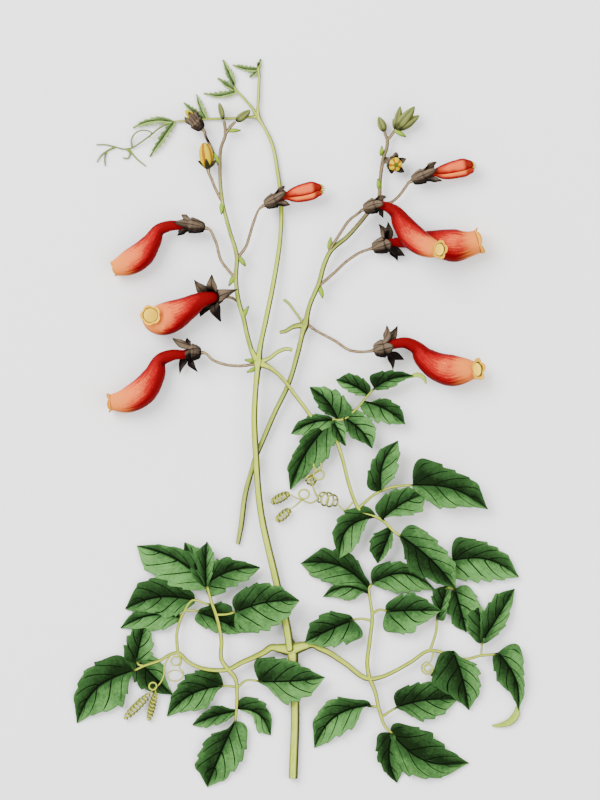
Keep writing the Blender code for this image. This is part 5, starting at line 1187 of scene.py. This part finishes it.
def smooth_edge(distances):
    """How far a leaf's edge lies from the line from base to tip: round at the base, pointed at the tip."""
    knots = [math.sqrt(part) for part in EDGE_PARTS]
    heights = (0.0, *distances, 0.0)
    gaps = [b - a for a, b in zip(knots, knots[1:])]
    slopes = [(b - a) / gap for a, b, gap in zip(heights, heights[1:], gaps)]
    bends = [slopes[0]]
    for low, high in zip(slopes, slopes[1:]):
        bends.append(2 * low * high / (low + high) if low * high > 0 else 0.0)
    bends.append(slopes[-1])

    def edge(part):
        place = math.sqrt(part)
        k = min(sum(place > knot for knot in knots[1:]), len(gaps) - 1)
        within = (place - knots[k]) / gaps[k]
        return curve_between(heights[k], heights[k + 1], bends[k] * gaps[k], bends[k + 1] * gaps[k], within)

    return edge


def furrow(depth, width, distance):
    """How deep a round furrow is at a distance from its middle."""
    return depth * math.exp(-((distance / width) ** 2))


def leaf_blade(design, paints, chance):
    """A toothed leaflet with a sunk midrib and side veins, folded along the midrib and arched to its tip."""
    base, tip, bend, left, right, teeth = design
    base, tip = Vector(base), Vector(tip)
    forward = (tip - base).to_2d()
    length = forward.length
    forward.normalize()
    side = Vector((-forward.y, forward.x))
    edges = {1: smooth_edge(left), -1: smooth_edge(right)}
    count, veins, full = TOOTH_COUNT[teeth], VEIN_COUNT[teeth], TOOTH_DEPTH[teeth]
    least, most = (full * share for share in TOOTH_SPREAD)
    depths = {hand: [chance.uniform(least, most) for _ in range(count + 1)] for hand in edges}
    shifts = {hand: chance.uniform(-TOOTH_SHIFT, TOOTH_SHIFT) for hand in edges}
    vein_shift = {hand: chance.uniform(-VEIN_SHIFT, VEIN_SHIFT) for hand in edges}
    dark_hand = 1 if side.dot(DRAWN_LIGHT.to_2d()) > 0 else -1
    tone = chance.uniform(-TONE_SPREAD, TONE_SPREAD) + TONE[teeth]
    wave = chance.uniform(0, math.tau)

    def shape(u, v):
        part = v**ROW_CROWDING
        across = 2 * u - 1
        reach = abs(across)
        hand = 1 if across > 0 else -1
        midrib = bend * math.sin(math.pi * part)
        half = max(edges[hand](part) - hand * midrib, LEAST_HALF_WIDTH)
        half *= 1 - smoothly(TIP_FROM, 1.0, part) * TIP_PINCH
        # Each tooth leans forward: the edge swells to its point, then drops back
        place = (part - FIRST_TOOTH + shifts[hand]) / (1 - FIRST_TOOTH)
        place = min(max(place, 0.0), 0.999) * count
        fading = 1 - smoothly(*TEETH_END, part)
        depth = depths[hand][int(place)] * (1 - place % 1.0) * smoothly(*TEETH_BEGIN, part) * fading
        depth -= TOOTH_OUT * full * smoothly(*OUT_BEGINS, part) * fading
        from_rib = half * reach * (1 - depth * smoothly(TOOTH_REACH[teeth], 1.0, reach))
        behind = HEART * half * reach**2 * max(0.0, 1 - part / HEART_END)
        spot = base.to_2d() + forward * (length * part - behind) + side * (midrib + hand * from_rib)
        phase = (part - VEIN_SWEEP * reach**VEIN_CURVE) * veins + vein_shift[hand] * (reach > 0)
        near = abs(phase - round(phase)) * length / veins
        height = base.z + (tip.z - base.z) * part + ARCH * length * math.sin(math.pi * part) - FOLD * from_rib
        height -= furrow(*RIB_FURROW, from_rib) * (1 - part) + furrow(*VEIN_FURROW, near) * (1 - reach)
        height += SWELLING * math.sin(math.pi * (phase % 1.0)) * (reach * (1 - reach) * 4)
        height += WAVE_HEIGHT * reach**2 * math.sin(math.tau * WAVES * part + wave)
        at_edge, at_rib, fade = DARK_HALF if hand == dark_hand else LIT_HALF
        return (*spot, max(height, LEAST_BLADE_HEIGHT)), {
            "from_rib": hand * from_rib, "reach": reach, "along": part, "phase": phase,
            "pitch": length / veins,
            "shade": at_edge + at_rib * (1 - reach) ** fade + BASE_SHADE * (1 - part) ** 4 + tone,
        }

    return walled_grid(BLADE, 0.0, (), "blade", *BLADE_GRIDS[teeth], shape, *paints)


def reached_back(path):
    """The path with its first point moved back, so that it runs into what carries it."""
    first, second = Vector(path[0][:3]), Vector(path[1][:3])
    return [(*(first + (first - second).normalized() * SUNK), path[0][3]), *path[1:]]


def leaf(name, stalks, blades, curl=None, tendrils=()):
    """A whole leaf in three pieces: its blades, its stalks and, where it has them, its tendrils."""
    slot = "leaf" if name.startswith("leaf") else "young_leaf"
    paints, tendril_paint = LEAF_PAINTS[slot]
    chance = random.Random(name)
    finished([leaf_blade(blade, paints, chance) for blade in blades], name + "_blades", slot, name)
    main, *branches = stalks
    pieces = [tube(reached_back(main), PETIOLE_PAINT, ridges=0.05)]
    pieces += [tube(path, PETIOLE_PAINT, step=0.6, sides=12, ends=(0.3, 1.0)) for path in branches]
    if curl:
        pieces.append(tube(curl, CURL_PAINT, step=0.4, ends=(0.3, 1.0), flat=0.4))
    finished(pieces, name + "_stalks", slot, name)
    if tendrils:
        pieces = [TENDRIL_KINDS[kind](*shape, tendril_paint) for kind, *shape in tendrils]
        finished(pieces, name + "_tendrils", slot, name)


def root_in(base, rim):
    """Where a corolla begins: just above the floor of the solid's calyx."""
    return base + (rim - base).normalized() * (CAD_WALL + GAP + CAD_WALL / 2)


def petal_tube(design):
    """A corolla: a narrow neck out of the calyx, a bent swollen body and five rounded flaring lobes."""
    base, rim = Vector(design["base"]), Vector(design["rim"])
    root = root_in(base, rim)
    waist = rim - (rim - base).normalized() * WAIST_BEHIND_RIM
    path = smooth_path([(*root, ROOT_RADIUS), (*waist, WAIST_RADIUS), *design["petals"]], 0.6)
    lengths = [0.0]
    for before, after in zip(path, path[1:]):
        lengths.append(lengths[-1] + (after - before).xy.length)
    start = (waist - root).xy.length
    frames = frames_along(path)
    last = len(frames) - 1
    rows = last + LIP_ROWS
    folds = [Vector()]
    for before, after in zip(frames, frames[2:]):
        folds.append((after[3] - before[3]) / max((after[0] - before[0]).length, WELD))
    folds.append(Vector())
    tilt = math.radians(design.get("tilt", 0.0))
    turned = Matrix.Rotation(tilt, 3, frames[-1][3].cross(UP).normalized())
    for k, (centre, *axes, radius) in enumerate(frames):
        lean = Matrix.Identity(3).lerp(turned, smoothly(LEAN_FROM, 1.0, k / last))
        frames[k] = (centre, *(lean @ axis for axis in axes), radius)
    spread, reach = design["lip"]
    blush = design.get("blush", 0.0)

    def shape(u, v):
        row = round(v * rows)
        angle = math.tau * u
        centre, right, over, along, radius = frames[min(row, last)]
        radius += PETAL_OUT
        flare = fold = 0.0
        place = 1.0
        if row <= last:
            place = (lengths[row] - start) / (lengths[-1] - start)
            radius += NECK_FULLNESS * (1 - smoothly(*NECK_FADES, abs(place - NECK_PLACE)))
            fold = max(folds[row].dot(circled(right, over, angle)), 0.0) * radius
            fold *= 1 - smoothly(*FOLD_FADES, place)
            radius *= 1 - FOLD_DENT * min(fold, FOLD_MOST)
        else:
            flare = (row - last) / LIP_ROWS
            lobe = LOBE_LEAST + (1 - LOBE_LEAST) * abs(math.sin(angle * LOBES / 2)) ** LOBE_ROUNDNESS
            centre = centre + along * (reach * lobe * math.sin(flare * math.pi / 2))
            radius += spread * lobe * flare**LIP_CURVE
        return centre + circled(right, over, angle) * radius, {
            "along": place, "flare": flare, "fold": fold, "blush": place + blush,
            "round_x": math.cos(angle), "round_y": math.sin(angle),
        }

    inner = (placed((root + waist) / 2), placed(frames[(last + 1) // 2][0]))
    return [walled_grid(PETAL_WALL, -1.0, inner, "petals", PETAL_SIDES, rows, shape, *PETAL_PAINTS)]


def bud_tube(design):
    """A flower bud's shut corolla: a red tube, a paler lower lip and small yellow teeth at its end."""
    base, rim, petals = Vector(design["base"]), Vector(design["rim"]), design["petals"]
    neck = [(*root_in(base, rim), ROOT_RADIUS), (*rim, WAIST_RADIUS), (*petals[0][:3], BUD_NECK)]
    pieces = []
    for (shift, size), paint in zip(BUD_SHELLS, SHUT_BUD_PAINTS):
        moved = [(*(Vector(p[:3]) + Vector(shift)), (p[3] + PETAL_OUT) * size) for p in petals[1:]]
        pieces.append(tube(neck + moved, paint, step=0.45, sides=28, ends=(0.0, 0.8)))
    end = Vector(petals[-1][:3])
    ahead, across, _ = axes_of(Vector(petals[-2][:3]), end)
    for k in range(BUD_TEETH):
        aside = (k / (BUD_TEETH - 1) - 0.5) * BUD_TEETH_WIDTH
        forward = BUD_TEETH_AHEAD - BUD_TEETH_ROUND * aside * aside
        foot = end + ahead * forward + across * aside + UP * BUD_TEETH_UP
        tip = foot + ahead * BUD_TOOTH[0] + across * BUD_TOOTH[1]
        path = [(*spot, radius) for spot, radius in zip((foot, tip), BUD_TOOTH_RADII)]
        pieces.append(tube(path, BUD_TEETH_PAINT, step=0.3, sides=7))
    return pieces


def row_width(height):
    """The calyx cup's width at a height, as a part of its rim's."""
    for (before, low), (after, high) in zip(CUP_ROWS, CUP_ROWS[1:]):
        if height <= after:
            return low + (high - low) * smoothly(before, after, height)
    return CUP_ROWS[-1][1]


def calyx(design):
    """A round cup and five pointed sepals that rise out of it, each led to its own tip."""
    base, rim = Vector(design["base"]), Vector(design["rim"])
    breadth = design.get("breadth", SEPAL_BREADTH) - 1
    along, right, up = axes_of(base, rim)

    def turn_of(point):
        return math.atan2((point - rim).dot(up), (point - rim).dot(right))

    tips = sorted((Vector(t) for t in design["tips"]), key=turn_of)
    turns = [turn_of(t) - math.tau * k / LOBES for k, t in enumerate(tips)]
    turn = math.atan2(sum(math.sin(a) for a in turns), sum(math.cos(a) for a in turns))
    foot = base - along * CAD_WALL / 2
    depth = (rim - foot).length
    outer = design["radius"] + SEPAL_OUT

    def out(angle, wide=outer):
        return circled(right, up, angle) * wide

    def cup(u, v):
        width = row_width(v) if v > 0 else 0.0
        angle = turn + math.tau * u
        spot = foot + along * (depth * v) + out(angle) * (width * CUP_INSIDE)
        return spot, {"across": math.sin(angle * LOBES / 2) * CUP_CREASE, "along": v * CUP_SHARE, "low": 0.0}

    pieces = [walled_grid(SEPAL_WALL, -1.0, [placed((base + rim) / 2)], "cup", 40, 12, cup, *SEPAL_PAINTS)]
    for k, tip in enumerate(tips):
        middle = turn + math.tau * k / LOBES
        start = rim + out(middle)
        lead = start + along * (SEPAL_ONWARD * (tip - start).length) + (tip - start) * SEPAL_LEAN
        low = smoothly(*SEPAL_SHADE, rim.y - tip.y)
        half = out(middle + math.pi / LOBES) - out(middle)
        level = (tip - start).cross(UP).normalized() * half.length
        if level.dot(half) < 0:
            level.negate()

        def sepal(u, v):
            across = 2 * u - 1
            bow = 1 - across * across
            wide = outer + SEPAL_BOW * bow
            turned = across * math.pi / LOBES
            if v < SEPAL_ON_CUP:
                height = SEPAL_LOW + (1 - SEPAL_LOW) * v / SEPAL_ON_CUP
                turned *= SEPAL_FOOT + (1 - SEPAL_FOOT) * math.sqrt(v / SEPAL_ON_CUP)
                spot = foot + along * (depth * height) + out(middle + turned, wide) * row_width(height)
            else:
                part = (v - SEPAL_ON_CUP) / (1 - SEPAL_ON_CUP)
                belly = math.sin(math.pi * part)
                spot = start * (1 - part) ** 2 + lead * (2 * part * (1 - part)) + tip * part**2
                taper = max((1 - part) ** SEPAL_TAPER, SEPAL_TIP) * (1 + breadth * belly)
                width = out(middle + turned, wide) - out(middle)
                flat = level * across + UP * (SEPAL_BELLY * bow)
                spot += width.lerp(flat, SEPAL_TWIST * smoothly(*TWIST_BEGINS, part)) * taper
                spot += out(middle) * (SEPAL_BELLY * belly * bow)
            return spot, {
                "across": across, "along": CUP_SHARE + (1 - CUP_SHARE) * v,
                "low": low * smoothly(*SHADE_BEGINS, v),
            }

        inner = [placed(rim - along * 0.5)]
        pieces.append(walled_grid(SEPAL_WALL, -1.0, inner, "sepal", 10, 22, sepal, *SEPAL_PAINTS))
    return pieces


def bud(base, tip, radius, blunt, paint):
    """A closed bud with five ribs, widest below its middle."""
    base, tip = Vector(base), Vector(tip)
    along, right, up = axes_of(base, tip)

    def shape(u, v):
        angle = math.tau * u
        height = (1 - math.cos(math.pi * v)) / 2
        rib = math.cos(LOBES * angle)
        width = radius * math.sin(math.pi * v) * (1 - (1 - blunt) * height**2) * (1 - BUD_RIB + BUD_RIB * rib)
        return base.lerp(tip, height) + circled(right, up, angle) * width, {"along": height, "rib": rib}

    return solid_grid("bud", 30, 20, shape, paint)


def bract(base, tip, half, paint):
    """A small pointed scale that leaves its stalk and hooks over at its tip."""
    base = Vector(base)
    forward = Vector(tip) - base
    side = forward.cross(UP).normalized()
    hook = side.cross(forward).normalized()

    def shape(u, v):
        across = 2 * u - 1
        belly = math.sin(math.pi * min(BRACT_FOOT + (1 - BRACT_FOOT) * v, 1.0))
        wide = half * BRACT_SWELL * (belly + BRACT_TIP)
        spot = base + forward * v + side * (across * wide) + hook * (BRACT_HOOK * math.sin(math.pi * v))
        return spot - UP * (BRACT_SAG * across * across), {"along": v, "across": across}

    return walled_grid(BRACT_WALL, 0.0, (), "bract", 6, 12, shape, paint)


def hairs(name, paths, chance):
    """Short dark hairs that stand off the stalks: one cone, copied to places beside each stalk."""
    bpy.ops.object.select_all(action="DESELECT")
    bpy.ops.mesh.primitive_cone_add(vertices=3, radius1=HAIR_RADIUS * MM, radius2=0, depth=HAIR_LENGTH * MM)
    piece = bpy.context.object
    one = piece.data.copy()
    coat = bmesh.new()
    for path in paths:
        for centre, right, up, along, radius in frames_along(smooth_path(path, 1 / HAIRS_PER_MM)):
            out = circled(right, up, chance.uniform(0, math.tau))
            out = (out + along * chance.uniform(-HAIR_LEAN, HAIR_LEAN)).normalized()
            size = chance.uniform(*HAIR_SIZES)
            root = centre + out * (radius + HAIR_LENGTH * size * HAIR_MIDDLE)
            start = len(coat.verts)
            coat.from_mesh(one)
            coat.verts.ensure_lookup_table()
            turn = out.to_track_quat("Z", "Y").to_matrix().to_4x4()
            place = Matrix.Translation(placed(root)) @ turn @ Matrix.Scale(size, 4)
            bmesh.ops.transform(coat, matrix=place, verts=coat.verts[start:])
    coat.to_mesh(piece.data)
    coat.free()
    bpy.data.meshes.remove(one)
    piece.data.materials.append(HAIR_PAINT)
    finished([piece], name, "raceme_stalk")


def pedicel_paths(paths):
    """The stalks of flowers and buds, each carried on into the calyx or bud that it bears."""
    found = []
    for name, path in paths.items():
        if name in BUDS:
            base, rim = BUDS[name][:2]
        else:
            cup = FLOWERS[name] if name in FLOWERS else BUD_CALYCES[name + "_calyx"]
            base, rim = cup["base"], cup["rim"]
        base, rim = Vector(base), Vector(rim)
        before = base - (rim - base).normalized() * PEDICEL_STRAIGHT
        radii = [PEDICEL_RADII[0]] + [PEDICEL_RADII[1]] * (len(path) - 1) + PEDICEL_RADII[2:]
        found.append([(*spot, radius) for spot, radius in zip((*path, before, base), radii)])
    return found


def main_stem():
    """The stem below the leaf node, the upper stem with its rounded foot on it, stubs, a stalk and scales."""
    pieces = [
        tube(LOWER_STEM, STEM_PAINT, ends=(0.12, 0.5), sides=20, ridges=0.04),
        tube(UPPER_STEM, STEM_PAINT, ends=(0.8, 0.5), sides=20, ridges=0.04),
    ]
    pieces += [tube(stub, STEM_PAINT, ends=(0.3, 0.35)) for stub in STEM_STUBS]
    pieces.append(tube(CUT_STALK_STUB, STEM_PAINT, ends=(0.3, 0.15)))
    pieces += [tube(path, STALK_PAINT, step=0.5, sides=12) for path in pedicel_paths(MAIN_PEDICELS)]
    pieces += [bract(*scale, BRACT_PAINT) for scale in NODE_BRACTS]
    finished(pieces, "main_stem_green", "stem", "main_stem")


def raceme(name, rachis, foot_end, fork, stubs, bracts, pedicels):
    """A raceme's stalk with its fork, its cut or stunted side stalks, its flower stalks and its scales."""
    stalks = pedicel_paths(pedicels)
    pieces = [tube(rachis, RACEME_PAINT, sides=18, ends=(foot_end, 0.5), ridges=0.05)]
    pieces.append(tube(fork, STALK_PAINT, step=0.5, sides=12))
    pieces += [tube(path, STUB_PAINT, step=0.5, ends=(0.3, 0.3)) for path in stubs]
    pieces += [tube(path, STALK_PAINT, step=0.5, sides=12) for path in stalks]
    pieces += [bract(*scale, BRACT_PAINT) for scale in bracts]
    finished(pieces, name + "_green", "raceme_stalk", name + "_stalk")
    upper = rachis[len(rachis) // 3:]
    hairs(name + "_hairs", [*stalks, upper, fork, *stubs], random.Random(name))


def flowers_and_buds():
    for name, design in FLOWERS.items():
        finished(calyx(design), name + "_sepals", "sepals", name + "_calyx")
        petals = bud_tube(design) if name.startswith("red_bud") else petal_tube(design)
        finished(petals, name + "_petals", "petals", name + "_corolla")
    for name, (*shape, paint, slot) in BUDS.items():
        pieces = [bud(*shape, BUD_PAINTS[paint])]
        pieces += [bract(*scale, DARK_SCALE_PAINT) for scale in BUD_SCALES.get(name, ())]
        finished(pieces, name + "_bud", slot, name)
    for name, design in BUD_CALYCES.items():
        finished(calyx(design), name + "_sepals", "sepals", name)
    lobes = [bud(*lobe, LOBE_BLUNTNESS, BUD_PAINTS["green"]) for lobe in CLUSTER_LOBES]
    finished(lobes, "bud_right_cluster_lobes", "green_bud", "bud_right_cluster")


def studio():
    """A plain near-white floor, soft lights round it and the camera straight above."""
    bpy.ops.object.select_all(action="DESELECT")
    bpy.ops.mesh.primitive_plane_add(size=FLOOR_SIZE)
    floor = bpy.context.object
    floor.name = "floor"
    paint = bpy.data.materials.new("floor")
    paint.use_nodes = True
    shader = paint.node_tree.nodes["Principled BSDF"]
    shader.inputs["Base Color"].default_value = (FLOOR_GREY, FLOOR_GREY, FLOOR_GREY, 1.0)
    shader.inputs["Roughness"].default_value = FLOOR_ROUGHNESS
    shader.inputs["Specular IOR Level"].default_value = FLOOR_SHINE
    floor.data.materials.append(paint)

    world = bpy.data.worlds.new("studio")
    world.use_nodes = True
    sky = world.node_tree.nodes["Background"]
    sky.inputs["Color"].default_value = (1.0, 1.0, 1.0, 1.0)
    sky.inputs["Strength"].default_value = WORLD_LIGHT
    bpy.context.scene.world = world

    for name, spot, power, size in LIGHTS:
        bpy.ops.object.light_add(type="AREA", location=spot)
        light = bpy.context.object
        light.name = name
        light.data.energy = power
        light.data.size = size
        light.rotation_euler = (-Vector(spot)).to_track_quat("-Z", "Y").to_euler()

    bpy.ops.object.camera_add(location=(0.0, CAMERA_MIDDLE_Y, CAMERA_HEIGHT), rotation=(0, 0, 0))
    camera = bpy.context.object
    camera.data.sensor_fit = "VERTICAL"
    camera.data.sensor_height = SENSOR
    camera.data.lens = SENSOR * CAMERA_HEIGHT / VIEW_HEIGHT
    bpy.context.scene.camera = camera


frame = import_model()

STEM_PAINT = stalk_paint("stem", tint(232, 236, 176), tint(212, 220, 142), tint(68, 74, 20))
RACEME_PAINT = stalk_paint(
    "raceme stalk", tint(220, 226, 162), tint(192, 200, 126), tint(56, 54, 22), 0.8,
    far=tint(178, 164, 132),
)
STALK_PAINT = stalk_paint(
    "flower stalk", tint(216, 202, 174), tint(172, 152, 122), tint(50, 36, 26), 1.3, 0.65, edge_shade_width=0.7,
)
STUB_PAINT = stalk_paint("stub", tint(220, 226, 162), tint(186, 196, 120), tint(60, 60, 24), edge_shade_width=0.66)
PETIOLE_PAINT = stalk_paint(
    "leaf stalk", tint(228, 232, 164), tint(200, 208, 124), tint(60, 66, 20),
    end=tint(40, 66, 18), groove_shade=0.55,
)
CURL_PAINT = stalk_paint("leaf curl", tint(218, 228, 162), tint(196, 210, 128), tint(130, 150, 70))
BRACT_PAINT = scale_paint()
DARK_SCALE_PAINT = plain_paint("dark scale", tint(58, 54, 26), tint(90, 84, 40))
HAIR_PAINT = plain_paint("hair", tint(40, 28, 22), tint(70, 52, 40))
# For each slot, the two sides of a blade and its tendrils
LEAF_PAINTS = {
    "leaf": (
        (
            leaf_paint("leaf top", tint(156, 196, 138), tint(80, 132, 68), tint(22, 52, 12), tint(6, 20, 2)),
            leaf_back_paint("leaf back", tint(156, 184, 112), tint(104, 142, 80)),
        ),
        stalk_paint("tendril", tint(234, 236, 176), tint(212, 216, 132), tint(116, 118, 46)),
    ),
    "young_leaf": (
        (
            leaf_paint(
                "young leaf top",
                tint(200, 214, 166), tint(136, 162, 104), tint(70, 98, 54), tint(52, 72, 38), fineness=0.45,
            ),
            leaf_back_paint("young leaf back", tint(160, 180, 120), tint(110, 140, 90)),
        ),
        stalk_paint("young tendril", tint(196, 206, 130), tint(140, 158, 80), tint(60, 76, 30)),
    ),
}
SEPAL_COLOURS = (tint(152, 134, 112), tint(98, 80, 62), tint(22, 9, 6))
SEPAL_PAINTS = (
    sepal_paint("sepal outside", *SEPAL_COLOURS),
    sepal_paint("sepal inside", *SEPAL_COLOURS, side=-1.0),
)
PETAL_PAINTS = (petal_paint(), throat_paint())
SHUT_BUD_PAINTS = (
    shut_petal_paint("bud petals", tint(168, 0, 12), tint(206, 36, 30), tint(234, 152, 104)),
    shut_petal_paint("bud lower lip", tint(190, 36, 30), tint(236, 150, 100), tint(242, 188, 126)),
)
BUD_TEETH_PAINT = plain_paint("petal teeth", tint(214, 204, 96), tint(150, 150, 50))
BUD_PAINTS = {
    "yellow": bud_paint("yellow bud", tint(66, 60, 18), tint(226, 214, 108), tint(196, 118, 30), 0.9),
    "tip": bud_paint("yellow-green bud", tint(120, 124, 36), tint(226, 216, 96), tint(170, 168, 60), 0.5),
    "green": bud_paint("green bud", tint(54, 52, 30), tint(172, 178, 118), tint(112, 116, 66), 0.7),
    "star": star_paint(),
}

main_stem()
raceme("raceme_left", reached_back(LEFT_RACEME), 0.5, LEFT_TIP_FORK, (), LEFT_BRACTS, LEFT_PEDICELS)
raceme("raceme_right", RIGHT_RACEME, 0.12, RIGHT_TIP_FORK, RIGHT_STUBS, RIGHT_BRACTS, RIGHT_PEDICELS)
flowers_and_buds()
for leaf_name, leaf_design in LEAVES.items():
    leaf(leaf_name, **leaf_design)
studio()
